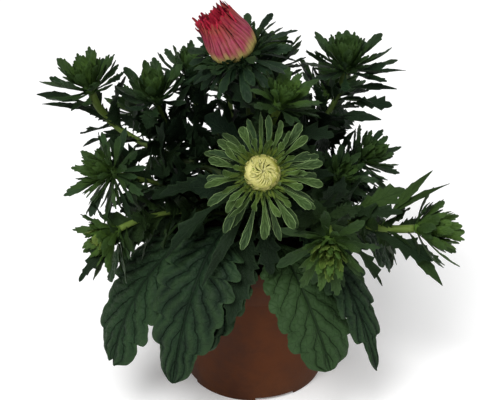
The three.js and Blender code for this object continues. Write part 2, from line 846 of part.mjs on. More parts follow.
const looks = [
  ['pot', potPlastic],
  ['soil', soilPeat],
  ['main_stem', leafGreen],
  ['stem_', leafGreen],
  ['head_', bractGreen],
  ['pink_petals', petalPink],
  ['pale_bud', budPale],
  ['basal_leaf_', basalGreen],
];
for (const owner of new Set(placed.map((entry) => entry.owner))) {
  const solids = placed.filter((entry) => entry.owner === owner).map((entry) => entry.solid);
  const [, material] = looks.find(([start]) => owner.startsWith(start));
  add(owner, fused(solids), material);
}

export default aster;
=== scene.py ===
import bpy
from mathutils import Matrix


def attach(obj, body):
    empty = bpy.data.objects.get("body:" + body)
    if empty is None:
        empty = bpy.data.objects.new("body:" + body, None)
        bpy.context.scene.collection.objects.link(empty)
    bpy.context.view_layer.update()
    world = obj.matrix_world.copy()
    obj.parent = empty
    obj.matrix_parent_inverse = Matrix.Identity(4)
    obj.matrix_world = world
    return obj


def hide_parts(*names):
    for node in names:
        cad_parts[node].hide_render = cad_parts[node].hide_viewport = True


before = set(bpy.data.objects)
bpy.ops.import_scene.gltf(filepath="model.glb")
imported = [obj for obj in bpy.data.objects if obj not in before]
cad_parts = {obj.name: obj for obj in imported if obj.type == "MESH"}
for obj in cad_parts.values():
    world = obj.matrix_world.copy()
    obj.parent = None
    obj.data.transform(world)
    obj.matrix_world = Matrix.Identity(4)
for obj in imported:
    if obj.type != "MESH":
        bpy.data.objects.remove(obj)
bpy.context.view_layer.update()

import math

import bpy
import numpy as np

print("frame loaded:", len(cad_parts), "solids")

# All shapes are worked out in millimetres, as the solids are, and become metres in meshOf.
metresPerMillimetre = 0.001
goldenAngle = 137.508
fullTurn = 2 * math.pi
upward = np.array([0.0, 0.0, 1.0])


def draw(key):
    # A repeatable draw from 0 to 1: the fraction of a large multiple of the key's sine. The factors
    # and offsets in the keys further down only tell the pieces apart.
    x = np.sin(np.asarray(key, float) * 12.9898) * 43758.5453
    return x - np.floor(x)


def sway(key):
    return 2 * draw(key) - 1


def anglesRound(count):
    return np.linspace(0, fullTurn, count, endpoint=False)


def unit(v):
    return v / np.linalg.norm(v, axis=-1, keepdims=True)


def turned(v, axis, angle):
    # Turns v about a unit axis: its part along the axis stays, the rest goes round by the angle.
    cosine, sine = np.cos(angle)[..., None], np.sin(angle)[..., None]
    along = np.sum(v * axis, axis=-1, keepdims=True)
    return v * cosine + np.cross(axis, v) * sine + axis * along * (1 - cosine)


def eased(x, low, high):
    # Goes smoothly from 0 at low to 1 at high.
    t = np.clip((x - low) / (high - low), 0, 1)
    return t * t * (3 - 2 * t)


def bezier(points, t):
    # The cubic curve through four control points.
    a, b, c, d = points
    t = np.asarray(t, float)[..., None]
    return a * (1 - t) ** 3 + 3 * b * t * (1 - t) ** 2 + 3 * c * t * t * (1 - t) + d * t**3


def bezierHeading(points, t):
    t = np.asarray(t, float)
    step = 1e-4
    return unit(bezier(points, np.minimum(t + step, 1)) - bezier(points, np.maximum(t - step, 0)))


def frameAt(at, axis):
    # Two directions square to an axis.
    reference = np.array([1.0, 0, 0]) if abs(axis[2]) > 0.9 else upward
    u = unit(np.cross(reference, axis))
    return {"at": at, "axis": axis, "u": u, "v": np.cross(axis, u)}


def outwardAt(place, degrees):
    angle = np.radians(np.asarray(degrees, float))[..., None]
    return place["u"] * np.cos(angle) + place["v"] * np.sin(angle)


def ringsOf(rings, ends, across, along, **values):
    # One batch of closed shapes: rings is shape x row x column x 3, ends the two points that close
    # each shape. across and along are the UV of the columns and rows; values are per shape.
    return {"rings": rings, "ends": ends, "across": across, "along": along, "values": values}


def ringFaces(rows, columns):
    # Quads between neighbouring rings and a fan at each end, as corner numbers and face starts.
    r, c = np.meshgrid(np.arange(rows - 1), np.arange(columns), indexing="ij")
    nextColumn = (c + 1) % columns
    quads = np.stack(
        [r * columns + c, r * columns + nextColumn, (r + 1) * columns + nextColumn, (r + 1) * columns + c], -1
    )
    c = np.arange(columns)
    nextColumn = (c + 1) % columns
    root, last = rows * columns, (rows - 1) * columns
    rootFan = np.stack([np.full(columns, root), nextColumn, c], -1)
    tipFan = np.stack([last + c, last + nextColumn, np.full(columns, root + 1)], -1)
    corners = np.concatenate([quads.ravel(), rootFan.ravel(), tipFan.ravel()])
    sizes = np.concatenate([np.full(quads.size // 4, 4), np.full(2 * columns, 3)])
    return corners, sizes


def meshOf(name, batches, sharpAngle):
    # Joins the batches into one mesh with a UV map and one attribute for each value. Edges that turn
    # by more than the sharp angle are shaded as edges.
    points, corners, uv, values = [], [], [], {}
    count = 0
    for batch in batches:
        shapes, rows, columns = batch["rings"].shape[:3]
        perShape = rows * columns + 2
        places = np.concatenate([batch["rings"].reshape(shapes, -1, 3), batch["ends"]], 1)
        shapeCorners, shapeSizes = ringFaces(rows, columns)
        first = count + np.arange(shapes)[:, None] * perShape
        batchCorners = (first + shapeCorners).ravel()
        batchSizes = np.tile(shapeSizes, shapes)
        # Signed volume of the first shape tells whether its faces look outwards.
        fan = places[0][shapeCorners[: (rows - 1) * columns * 4].reshape(-1, 4)]
        volume = sum(np.sum(np.cross(fan[:, 0], fan[:, i]) * fan[:, i + 1]) for i in (1, 2))
        points.append(places.reshape(-1, 3))
        corners.append((batchCorners, batchSizes, volume < 0))
        u = np.concatenate([np.tile(batch["across"], rows), [0.5, 0.5]])
        v = np.concatenate([np.repeat(batch["along"], columns), [batch["along"][0], 1.0]])
        uv.append(np.tile(np.stack([u, v], -1), (shapes, 1)))
        for key, value in batch["values"].items():
            value = np.broadcast_to(np.asarray(value, float), (shapes,))
            values.setdefault(key, []).append(np.repeat(value, perShape))
        count += shapes * perShape
    mesh = bpy.data.meshes.new(name)
    allPoints = np.concatenate(points) * metresPerMillimetre
    loops, starts = [], []
    loopCount = 0
    for batchCorners, batchSizes, inward in corners:
        batchStarts = np.concatenate([[0], np.cumsum(batchSizes)[:-1]])
        if inward:  # the corners of each face in reverse order
            position = np.arange(len(batchCorners))
            firstOfFace = np.repeat(batchStarts, batchSizes)
            sizeOfFace = np.repeat(batchSizes, batchSizes)
            batchCorners = batchCorners[2 * firstOfFace + sizeOfFace - 1 - position]
        loops.append(batchCorners)
        starts.append(batchStarts + loopCount)
        loopCount += len(batchCorners)
    loops, starts = np.concatenate(loops).astype(np.int32), np.concatenate(starts).astype(np.int32)
    mesh.vertices.add(len(allPoints))
    mesh.vertices.foreach_set("co", allPoints.astype(np.float32).ravel())
    mesh.loops.add(len(loops))
    mesh.loops.foreach_set("vertex_index", loops)
    mesh.polygons.add(len(starts))
    mesh.polygons.foreach_set("loop_start", starts)
    mesh.polygons.foreach_set("use_smooth", np.ones(len(starts), bool))
    layer = mesh.uv_layers.new(name="UVMap")
    layer.data.foreach_set("uv", np.concatenate(uv)[loops].astype(np.float32).ravel())
    for key, parts in values.items():
        attribute = mesh.attributes.new(key, "FLOAT", "POINT")
        attribute.data.foreach_set("value", np.concatenate(parts).astype(np.float32))
    mesh.update(calc_edges=True)
    mesh.validate()
    mesh.set_sharp_from_angle(angle=math.radians(sharpAngle))
    return mesh


def addObject(name, data):
    item = bpy.data.objects.new(name, data)
    bpy.context.scene.collection.objects.link(item)
    return item


def addPiece(name, mesh, material, slot, *nodes):
    piece = addObject(name, mesh)
    mesh.materials.append(material)
    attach(piece, "root")
    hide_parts(*nodes)


def addSurface(name, batches, material, slot, node, sharpAngle=100):
    addPiece(name, meshOf(name, batches, sharpAngle), material, slot, node)


def crossSection(pointsOnTop):
    # Columns round a blade: from -1 to 1 over the top, back underneath, with +1 above and -1 below.
    over = np.linspace(-1, 1, pointsOnTop)
    across = np.concatenate([over, over[::-1][1:-1]])
    side = np.concatenate([np.ones(pointsOnTop), -np.ones(pointsOnTop - 2)])
    return across, side


def tubeRings(centres, radii, columns, ribs=0, ribDepth=0.0):
    # A round section carried along a path: each ring lies square to the path, its radius varied by
    # ribs round it. The first direction is carried on from ring to ring without twist.
    along = unit(np.gradient(centres, axis=0))
    u = np.empty_like(centres)
    u[0] = frameAt(centres[0], along[0])["u"]
    for i in range(1, len(centres)):
        u[i] = unit(u[i - 1] - along[i] * np.dot(u[i - 1], along[i]))
    v = np.cross(along, u)
    angle = anglesRound(columns)
    radius = radii[:, None] * (1 + ribDepth * np.cos(ribs * angle))
    ring = u[:, None] * np.cos(angle)[:, None] + v[:, None] * np.sin(angle)[:, None]
    return centres[:, None] + ring * radius[..., None]


def groupTree(name, inputs, outputs):
    # An empty node group with named sockets; colours are given as three numbers, values as one.
    tree = bpy.data.node_groups.new(name, "ShaderNodeTree")
    for label, value in inputs.items():
        kind = "NodeSocketColor" if isinstance(value, tuple) else "NodeSocketFloat"
        socket = tree.interface.new_socket(label, in_out="INPUT", socket_type=kind)
        socket.default_value = (*value, 1.0) if isinstance(value, tuple) else value
    for label, kind in outputs.items():
        tree.interface.new_socket(label, in_out="OUTPUT", socket_type=kind)
    return tree, tree.nodes.new("NodeGroupInput").outputs, tree.nodes.new("NodeGroupOutput").inputs


def plug(tree, socket, value):
    if isinstance(value, bpy.types.NodeSocket):
        tree.links.new(value, socket)
    elif isinstance(value, tuple) and len(value) == 3 and socket.type == "RGBA":
        socket.default_value = (*value, 1.0)
    else:
        socket.default_value = value


def mathOf(tree, operation, *values):
    node = tree.nodes.new("ShaderNodeMath")
    node.operation = operation
    for socket, value in zip(node.inputs, values):
        plug(tree, socket, value)
    return node.outputs[0]


def timesOf(tree, a, b):
    return mathOf(tree, "MULTIPLY", a, b)


def rampOf(tree, value, low, high, start=0.0, end=1.0):
    # Start at low, end at high, smoothly in between.
    node = tree.nodes.new("ShaderNodeMapRange")
    node.interpolation_type = "SMOOTHSTEP"
    for socket, entry in zip(node.inputs, (value, low, high, start, end)):
        plug(tree, socket, entry)
    return node.outputs[0]


def mixOf(tree, factor, a, b):
    node = tree.nodes.new("ShaderNodeMix")
    node.data_type = "RGBA"
    plug(tree, node.inputs["Factor"], factor)
    plug(tree, node.inputs[6], a)
    plug(tree, node.inputs[7], b)
    return node.outputs[2]


def attributeOf(tree, name):
    node = tree.nodes.new("ShaderNodeAttribute")
    node.attribute_name = name
    return node.outputs["Fac"]


def bladePlaces(tree):
    # From the UV map: across a blade, along it, and from its middle (0) to its edge (1).
    node = tree.nodes.new("ShaderNodeUVMap")
    node.uv_map = "UVMap"
    split = tree.nodes.new("ShaderNodeSeparateXYZ")
    tree.links.new(node.outputs[0], split.inputs[0])
    u, s = split.outputs[0], split.outputs[1]
    return u, s, mathOf(tree, "ABSOLUTE", mathOf(tree, "MULTIPLY_ADD", u, 2.0, -1.0))


def noiseOf(tree, vector, scale, detail):
    node = tree.nodes.new("ShaderNodeTexNoise")
    for label, value in (("Vector", vector), ("Scale", scale), ("Detail", detail), ("Roughness", 0.55)):
        plug(tree, node.inputs[label], value)
    return node.outputs[0]


def objectPlace(tree):
    return tree.nodes.new("ShaderNodeTexCoord").outputs["Object"]


def buildMottle():
    # Soft blotches and finer specks in one value.
    tree, given, made = groupTree("mottle", {"Scale": 60.0, "Speck": 0.3}, {"Value": "NodeSocketFloat"})
    place = objectPlace(tree)
    broad = noiseOf(tree, place, given["Scale"], 3.0)
    fine = noiseOf(tree, place, timesOf(tree, given["Scale"], 7.0), 2.0)
    mixed = mathOf(tree, "MULTIPLY_ADD", mathOf(tree, "SUBTRACT", fine, 0.5), given["Speck"], broad)
    tree.links.new(rampOf(tree, mixed, 0.3, 0.7), made["Value"])
    return tree


def groupNode(tree, group, **values):
    node = tree.nodes.new("ShaderNodeGroup")
    node.node_tree = group
    for label, value in values.items():
        plug(tree, node.inputs[label], value)
    return node.outputs


def buildLeafSurface(mottle):
    # A leaf's colour and relief from its UV: midrib, side veins that slant forward, a net of fine
    # veins with raised cells between, blotches, a pale edge, a painted highlight on the swellings between
    # the veins, painted shade darkening the foot, and a fresher green where the attribute says so, most at
    # the foot.
    tree, given, made = groupTree(
        "leafSurface",
        {
            "Shade": (0.01, 0.03, 0.01), "Light": (0.03, 0.06, 0.02), "Vein": (0.03, 0.05, 0.02),
            "Fresh": (0.08, 0.16, 0.03), "Edge": (0.1, 0.16, 0.08), "Veins": 7.0, "Slant": 2.0, "Start": 0.0,
            "Vein Width": 0.1, "Vein Amount": 0.6, "Edge Amount": 0.5, "Net Scale": 300.0, "Net Amount": 0.3,
            "Swell Amount": 0.1, "Old Foot": 0.0,
        },
        {"Color": "NodeSocketColor", "Height": "NodeSocketFloat"},
    )
    _, s, x = bladePlaces(tree)
    place = objectPlace(tree)
    stray = timesOf(tree, mathOf(tree, "SUBTRACT", noiseOf(tree, place, 120.0, 1.0), 0.5), 0.35)
    phase = mathOf(tree, "SUBTRACT", timesOf(tree, s, given["Veins"]), timesOf(tree, x, given["Slant"]))
    phase = mathOf(tree, "ADD", mathOf(tree, "SUBTRACT", phase, given["Start"]), stray)
    apart = mathOf(tree, "PINGPONG", phase, 0.5)
    sideVein = rampOf(tree, apart, 0.0, given["Vein Width"], 1.0, 0.0)
    sideVein = timesOf(tree, sideVein, rampOf(tree, x, 0.6, 0.98, 0.85, 0.0))
    midrib = rampOf(tree, x, 0.005, 0.06, 1.0, 0.0)
    cells = tree.nodes.new("ShaderNodeTexVoronoi")
    cells.feature = "DISTANCE_TO_EDGE"
    plug(tree, cells.inputs["Vector"], place)
    plug(tree, cells.inputs["Scale"], given["Net Scale"])
    toEdge = cells.outputs["Distance"]
    net = timesOf(tree, rampOf(tree, toEdge, 0.0, 0.09, 1.0, 0.0), given["Net Amount"])
    dome = timesOf(tree, rampOf(tree, toEdge, 0.0, 0.45), given["Net Amount"])
    vein = mathOf(tree, "MAXIMUM", mathOf(tree, "MAXIMUM", sideVein, midrib), net)
    blotch = groupNode(tree, mottle, Scale=70.0, Speck=0.5)["Value"]
    tint = attributeOf(tree, "tint")
    light = mathOf(tree, "ADD", timesOf(tree, blotch, 0.5), timesOf(tree, tint, 0.5))
    colour = mixOf(tree, light, given["Shade"], given["Light"])
    fresh = timesOf(tree, attributeOf(tree, "fresh"), rampOf(tree, s, 0.1, 1.0, 1.0, 0.5))
    colour = mixOf(tree, fresh, colour, given["Fresh"])
    # Painted highlight: the swellings between the side veins are painted lighter, towards the Edge colour.
    between = timesOf(tree, rampOf(tree, apart, 0.08, 0.5), rampOf(tree, x, 0.02, 0.3))
    colour = mixOf(tree, timesOf(tree, between, given["Swell Amount"]), colour, given["Edge"])
    # Painted shade: the blade is darkened towards its Shade colour from the foot to 0.4 of its length, fading
    # out by 0.85; the stems use it for the shade inside the plant.
    footShade = timesOf(tree, rampOf(tree, s, 0.4, 0.85, 1.0, 0.0), given["Old Foot"])
    colour = mixOf(tree, footShade, colour, given["Shade"])
    colour = mixOf(tree, timesOf(tree, vein, given["Vein Amount"]), colour, given["Vein"])
    rim = timesOf(tree, rampOf(tree, x, 0.8, 0.98), given["Edge Amount"])
    colour = mixOf(tree, rim, colour, given["Edge"])
    tree.links.new(colour, made["Color"])
    height = mathOf(tree, "MULTIPLY_ADD", blotch, 0.3, mathOf(tree, "SUBTRACT", dome, vein))
    tree.links.new(height, made["Height"])
    return tree


def buildPetalSurface(mottle):
    # A strap petal: pale foot, coloured body, deeper tip, fine streaks along it and a painted highlight down
    # its middle, which leaves its edges darker.
    tree, given, made = groupTree(
        "petalSurface",
        {
            "Foot": (0.3, 0.25, 0.1), "Body": (0.3, 0.05, 0.12), "Tip": (0.2, 0.01, 0.03),
            "Streak": (0.4, 0.15, 0.2), "Foot End": 0.25, "Tip Start": 0.7, "Streaks": 7.0, "Ridge": 0.5,
        },
        {"Color": "NodeSocketColor", "Height": "NodeSocketFloat"},
    )
    u, s, x = bladePlaces(tree)
    tint = attributeOf(tree, "tint")
    spread = tree.nodes.new("ShaderNodeCombineXYZ")
    plug(tree, spread.inputs[0], timesOf(tree, u, given["Streaks"]))
    plug(tree, spread.inputs[1], timesOf(tree, s, 0.8))
    plug(tree, spread.inputs[2], timesOf(tree, tint, 30.0))
    streak = rampOf(tree, noiseOf(tree, spread.outputs[0], 1.0, 2.0), 0.38, 0.66)
    # Painted highlight: the middle of each petal is painted lighter towards the streak colour, so that its
    # edges stay darker as if shaded.
    ridgeHighlight = timesOf(tree, rampOf(tree, x, 0.05, 0.5, 1.0, 0.0), given["Ridge"])
    pale = mathOf(tree, "MAXIMUM", timesOf(tree, streak, 0.6), ridgeHighlight)
    wander = mathOf(tree, "MULTIPLY_ADD", tint, 0.16, mathOf(tree, "SUBTRACT", s, 0.08))
    pale = mathOf(tree, "MAXIMUM", pale, rampOf(tree, wander, 0.12, 0.6, 0.85, 0.0))
    # From Body to the streak colour by the streaks and the painted highlight.
    colour = mixOf(tree, pale, given["Body"], given["Streak"])
    colour = mixOf(tree, rampOf(tree, wander, given["Tip Start"], 1.02), colour, given["Tip"])
    foot = rampOf(tree, wander, timesOf(tree, given["Foot End"], 0.3), given["Foot End"], 1.0, 0.0)
    colour = mixOf(tree, foot, colour, given["Foot"])
    blotch = groupNode(tree, mottle, Scale=150.0, Speck=0.3)["Value"]
    colour = mixOf(tree, timesOf(tree, blotch, 0.12), colour, given["Foot"])
    tree.links.new(colour, made["Color"])
    tree.links.new(pale, made["Height"])
    return tree


mottleGroup = buildMottle()
leafSurfaceGroup = buildLeafSurface(mottleGroup)
petalSurfaceGroup = buildPetalSurface(mottleGroup)


def emptyMaterial(name, roughness, specular):
    material = bpy.data.materials.new(name)
    material.use_nodes = True
    shader = material.node_tree.nodes["Principled BSDF"]
    shader.inputs["Roughness"].default_value = roughness
    shader.inputs["Specular IOR Level"].default_value = specular
    return material, material.node_tree, shader


def addBump(tree, shader, height, strength, distance):
    bump = tree.nodes.new("ShaderNodeBump")
    bump.inputs["Strength"].default_value = strength
    bump.inputs["Distance"].default_value = distance
    tree.links.new(height, bump.inputs["Height"])
    tree.links.new(bump.outputs[0], shader.inputs["Normal"])


def surfaceMaterial(group, name, roughness, specular, bump, depth, **looks):
    # A material of one of the two surfaces; in the labels of its looks _ stands for a space.
    material, tree, shader = emptyMaterial(name, roughness, specular)
    surface = groupNode(tree, group, **{label.replace("_", " "): value for label, value in looks.items()})
    tree.links.new(surface["Color"], shader.inputs["Base Color"])
    addBump(tree, shader, surface["Height"], bump, depth)
    return material


def rgb(red, green, blue):
    # A screen colour, 0 to 255, as the light it stands for.
    return tuple(float(((c / 255 + 0.055) / 1.055) ** 2.4) for c in (red, green, blue))


bractGreen = surfaceMaterial(
    leafSurfaceGroup, "bractGreen", 0.55, 0.14, 0.5, 0.0006,
    Shade=rgb(10, 23, 15), Light=rgb(28, 49, 30), Vein=rgb(38, 60, 35), Fresh=rgb(86, 118, 42),
    Edge=rgb(62, 86, 50), Veins=5.0, Slant=1.4, Vein_Width=0.14, Vein_Amount=0.35, Edge_Amount=0.45,
    Net_Scale=700.0, Net_Amount=0.25,
)
paleHeadGreen = surfaceMaterial(
    leafSurfaceGroup, "paleHeadGreen", 0.55, 0.14, 0.6, 0.0006,
    Shade=rgb(18, 35, 19), Light=rgb(42, 65, 34), Vein=rgb(20, 36, 20), Fresh=rgb(104, 134, 48),
    Edge=rgb(120, 144, 92), Veins=5.0, Slant=1.4, Vein_Width=0.16, Vein_Amount=0.4, Edge_Amount=0.9,
    Net_Scale=700.0, Net_Amount=0.25,
)
fringeGreen = surfaceMaterial(
    leafSurfaceGroup, "fringeGreen", 0.55, 0.14, 0.5, 0.0004,
    Shade=rgb(34, 58, 24), Light=rgb(60, 88, 34), Vein=rgb(44, 66, 28), Fresh=rgb(128, 142, 52),
    Edge=rgb(130, 148, 74), Veins=4.0, Slant=1.4, Vein_Width=0.16, Vein_Amount=0.3, Edge_Amount=0.7,
    Net_Scale=700.0, Net_Amount=0.2,
)
leafGreen = surfaceMaterial(
    leafSurfaceGroup, "leafGreen", 0.58, 0.07, 0.6, 0.0006,
    Shade=rgb(8, 17, 13), Light=rgb(20, 34, 24), Vein=rgb(38, 54, 34), Fresh=rgb(80, 110, 44),
    Edge=rgb(46, 64, 40), Veins=6.0, Slant=1.8, Vein_Width=0.09, Vein_Amount=0.5, Edge_Amount=0.4,
    Net_Scale=500.0, Net_Amount=0.3,
)
# Painted shade and highlight: the vein colour, darker than the Shade colour, paints shade into the sunken
# veins and their net, and the swell setting paints the swellings between them lighter.
basalGreen = surfaceMaterial(
    leafSurfaceGroup, "basalGreen", 0.6, 0.1, 0.9, 0.001,
    Shade=rgb(15, 29, 18), Light=rgb(34, 56, 34), Vein=rgb(14, 24, 15), Fresh=rgb(62, 88, 42),
    Edge=rgb(50, 72, 42), Veins=10.81, Slant=2.3, Start=3.0, Vein_Width=0.06, Vein_Amount=0.6,
    Edge_Amount=0.35, Net_Scale=230.0, Net_Amount=0.2, Swell_Amount=0.35,
)
# Its foot setting paints shade on the lower stems, which lie deep inside the plant.
stemGreen = surfaceMaterial(
    leafSurfaceGroup, "stemGreen", 0.55, 0.2, 0.4, 0.0006,
    Shade=rgb(34, 48, 22), Light=rgb(84, 104, 42), Vein=rgb(68, 84, 34), Fresh=rgb(120, 146, 62),
    Edge=rgb(90, 98, 46), Veins=3.0, Slant=0.0, Vein_Width=0.05, Vein_Amount=0.2, Edge_Amount=0.2,
    Net_Scale=400.0, Net_Amount=0.1, Swell_Amount=0.0, Old_Foot=0.9,
)
# Its ridge setting paints a highlight down the middle of each petal.
petalPink = surfaceMaterial(
    petalSurfaceGroup, "petalPink", 0.6, 0.12, 0.4, 0.0004,
    Foot=rgb(170, 160, 92), Body=rgb(112, 18, 44), Tip=rgb(132, 22, 44), Streak=rgb(156, 60, 92),
    Foot_End=0.5, Tip_Start=0.6, Streaks=5.0, Ridge=0.75,
)
# The inner petals' own crimson, painted brighter to stand for light in the shaded mouth.
petalCrimsonLit = surfaceMaterial(
    petalSurfaceGroup, "petalCrimsonLit", 0.62, 0.1, 0.4, 0.0004,
    Foot=rgb(160, 28, 50), Body=rgb(170, 28, 52), Tip=rgb(180, 42, 64), Streak=rgb(190, 70, 90),
    Foot_End=0.1, Tip_Start=0.7, Streaks=6.0, Ridge=0.4,
)
# Painted light and shade: the dull Body colour shades the edges of the petals, and the cream streak colour
# with the strong ridge setting paints a highlight down their middles.
budPale = surfaceMaterial(
    petalSurfaceGroup, "budPale", 0.6, 0.12, 0.4, 0.0004,
    Foot=rgb(124, 138, 50), Body=rgb(128, 128, 50), Tip=rgb(200, 196, 132), Streak=rgb(206, 198, 128),
    Foot_End=0.35, Tip_Start=0.6, Streaks=2.0, Ridge=0.95,
)
print("materials built")


potSizes = {
    "height": 103.0, "rim": 60.0, "foot": 43.0, "collarHeight": 24.0, "collarStep": 1.6, "wall": 1.5,
    "footHeight": 2.4, "footWidth": 4.0, "pad": 10.0, "sides": 144,
    "drainHoles": 6, "drainRadius": 4.0, "drainCircle": 26.0,
    "notches": 4, "notchWidth": 25.0, "notchAngle": -72.0,
}


def wallRadius(z):
    sizes = potSizes
    return sizes["foot"] + (sizes["rim"] - sizes["collarStep"] - sizes["foot"]) * z / sizes["height"]


collarFoot = potSizes["height"] - potSizes["collarHeight"]


def innerRadius(z):
    return wallRadius(z) - potSizes["wall"] + (potSizes["collarStep"] if z > collarFoot else 0.0)


def latheRings(profile, columns):
    # A profile of radius and height turned round the axis, its first and last points on the axis.
    angle = anglesRound(columns)
    radius, height = np.array(profile[1:-1], float).T[:, :, None]
    rings = np.stack([radius * np.cos(angle), radius * np.sin(angle), np.repeat(height, columns, 1)], -1)
    ends = np.array([[0, 0, profile[0][1]], [0, 0, profile[-1][1]]], float)
    return rings[None], ends[None]


def plainBatch(rings, ends, **values):
    # A batch whose UV runs round the columns and along the rows.
    rows, columns = rings.shape[1:3]
    return ringsOf(rings, ends, np.linspace(0, 1, columns), np.linspace(0, 1, rows), **values)


def potProfile():
    # Radius and height from the middle of the underside over foot, collar and rim to the middle of the
    # floor inside; the short steps round the edges off.
    sizes = potSizes
    floor = sizes["footHeight"] + sizes["wall"]
    foot, rim, height = sizes["foot"], sizes["rim"], sizes["height"]
    pad, footHeight, step = sizes["pad"], sizes["footHeight"], sizes["collarStep"]
    inside = foot - sizes["footWidth"]
    collar = wallRadius(collarFoot)
    return [
        (0, 0), (pad, 0), (pad + 0.8, footHeight), (inside - 0.6, footHeight),
        (inside, 0), (foot - 0.7, 0), (foot - 0.25, 0.12), (wallRadius(0.5), 0.5), (wallRadius(1.2), 1.2),
        (wallRadius(26), 26), (wallRadius(52), 52), (collar, collarFoot - 0.2), (collar + 0.25, collarFoot),
        (collar + step - 0.2, collarFoot + 0.6), (collar + step, collarFoot + 1.1),
        (rim - 0.5, height - 7), (rim - 0.1, height - 3), (rim, height - 1), (rim - 0.15, height - 0.4),
        (rim - 0.5, height - 0.05), (rim - 0.8, height), (innerRadius(height) + 0.4, height),
        (innerRadius(height) + 0.1, height - 0.2), (innerRadius(height), height - 0.8),
        (innerRadius(collarFoot + 2), collarFoot + 2), (innerRadius(collarFoot), collarFoot - 0.5),
        (innerRadius(40), 40), (innerRadius(floor + 1), floor + 1), (innerRadius(floor) - 1, floor),
        (0, floor),
    ]


def potCutters():
    # Six upright round bars for the drain holes and four boxes for the notches in the foot ring.
    sizes = potSizes
    low, high, radius = -4, 8, sizes["drainRadius"]
    angles = anglesRound(sizes["drainHoles"])
    rings, ends = latheRings([(0, low), (radius, low), (radius, high), (0, high)], 24)
    shift = np.stack([np.cos(angles), np.sin(angles), np.zeros(len(angles))], -1) * sizes["drainCircle"]
    bars = plainBatch(rings + shift[:, None, None], ends + shift[:, None])
    depth, width, height = sizes["footWidth"] * 1.5, sizes["notchWidth"] / 2, sizes["footHeight"]
    square = np.array([[-depth, -width], [depth, -width], [depth, width], [-depth, width]])
    box = np.stack([np.column_stack([square, np.full(4, z)]) for z in (-height, height)])
    box[..., 0] += sizes["foot"]
    caps = np.array([[sizes["foot"], 0, -height], [sizes["foot"], 0, height]])
    turns = math.radians(sizes["notchAngle"]) + np.arange(sizes["notches"]) * fullTurn / sizes["notches"]
    boxes = turned(np.tile(box, (len(turns), 1, 1, 1)), upward, turns[:, None, None])
    boxEnds = turned(np.tile(caps, (len(turns), 1, 1)), upward, turns[:, None])
    return [bars, plainBatch(boxes, boxEnds)]


def buildPotMaterial():
    # Matt plastic: a warm brown with soft blotches, a fine grain and a little dust low down.
    material, tree, shader = emptyMaterial("potPlastic", 0.5, 0.1)
    split = tree.nodes.new("ShaderNodeSeparateXYZ")
    tree.links.new(objectPlace(tree), split.inputs[0])
    blotch = groupNode(tree, mottleGroup, Scale=26.0, Speck=0.35)["Value"]
    colour = mixOf(tree, blotch, rgb(60, 28, 7), rgb(77, 38, 11))
    low = timesOf(tree, rampOf(tree, split.outputs[2], 0.0, 0.03, 0.3, 0.0), blotch)
    colour = mixOf(tree, low, colour, rgb(88, 54, 30))
    tree.links.new(colour, shader.inputs["Base Color"])
    tree.links.new(rampOf(tree, blotch, 0.0, 1.0, 0.5, 0.62), shader.inputs["Roughness"])
    addBump(tree, shader, groupNode(tree, mottleGroup, Scale=420.0, Speck=0.6)["Value"], 0.12, 0.0003)
    return material


def buildPot():
    batches = [plainBatch(*latheRings(potProfile(), potSizes["sides"]), tint=0.5)]
    body = addObject("pot_shell", meshOf("pot_shell", batches, 100))
    cutter = addObject("pot_cutters", meshOf("pot_cutters", potCutters(), 100))
    cut = body.modifiers.new("cut", "BOOLEAN")
    cut.operation, cut.solver, cut.object = "DIFFERENCE", "EXACT", cutter
    bpy.context.view_layer.update()
    finished = bpy.data.meshes.new_from_object(body.evaluated_get(bpy.context.evaluated_depsgraph_get()))
    finished.name = "pot_body"
    for item in (body, cutter):
        bpy.data.objects.remove(item)
    finished.set_sharp_from_angle(angle=math.radians(32))
    addPiece("pot_body", finished, buildPotMaterial(), "pot_plastic", "pot")


buildPot()
print("pot built")


soilSizes = {
    "top": 91.0, "lump": 1.12, "fine": 0.45, "gap": 0.6, "rows": 26, "columns": 120,
    "crumbs": 150, "crumbLeast": 0.7, "crumbRange": 1.3, "crumbLift": 0.3,
}


def soilSurface(x, y):
    # The lumps of the solid's top with finer crumb on them.
    lump = np.sin(x * 0.61 + 2) * np.sin(y * 0.53) + 0.6 * np.sin(x * 0.27 - y * 0.33)
    fine = np.sin(x * 2.3 + 1.7 * np.sin(y * 1.9)) * np.sin(y * 2.7 + 1.3 * np.sin(x * 2.1))
    return soilSizes["top"] + soilSizes["lump"] * lump + soilSizes["fine"] * fine


def soilFilling():
    # Turned like the pot: up its wall, then inwards over the top, which takes the lumps.
    top, gap = soilSizes["top"], soilSizes["gap"]
    floor = potSizes["footHeight"] + potSizes["wall"] + gap
    heights = [(floor, floor), (40, 40), (collarFoot - 2, collarFoot + 0.5), (collarFoot + 3, collarFoot + 3)]
    side = [(innerRadius(at) - gap, z) for at, z in heights]
    edge = innerRadius(top) - gap
    inwards = [(r, top) for r in np.linspace(edge, 0.8, soilSizes["rows"])]
    rings, ends = latheRings([(0, floor), *side, *inwards, (0, top)], soilSizes["columns"])
    x, y, z = np.moveaxis(rings, -1, 0)
    upper = (z > top - 0.5) & (np.hypot(x, y) < edge - 1)
    rings[..., 2] = np.where(upper, soilSurface(x, y), z)
    return plainBatch(rings, ends, tint=0.5)


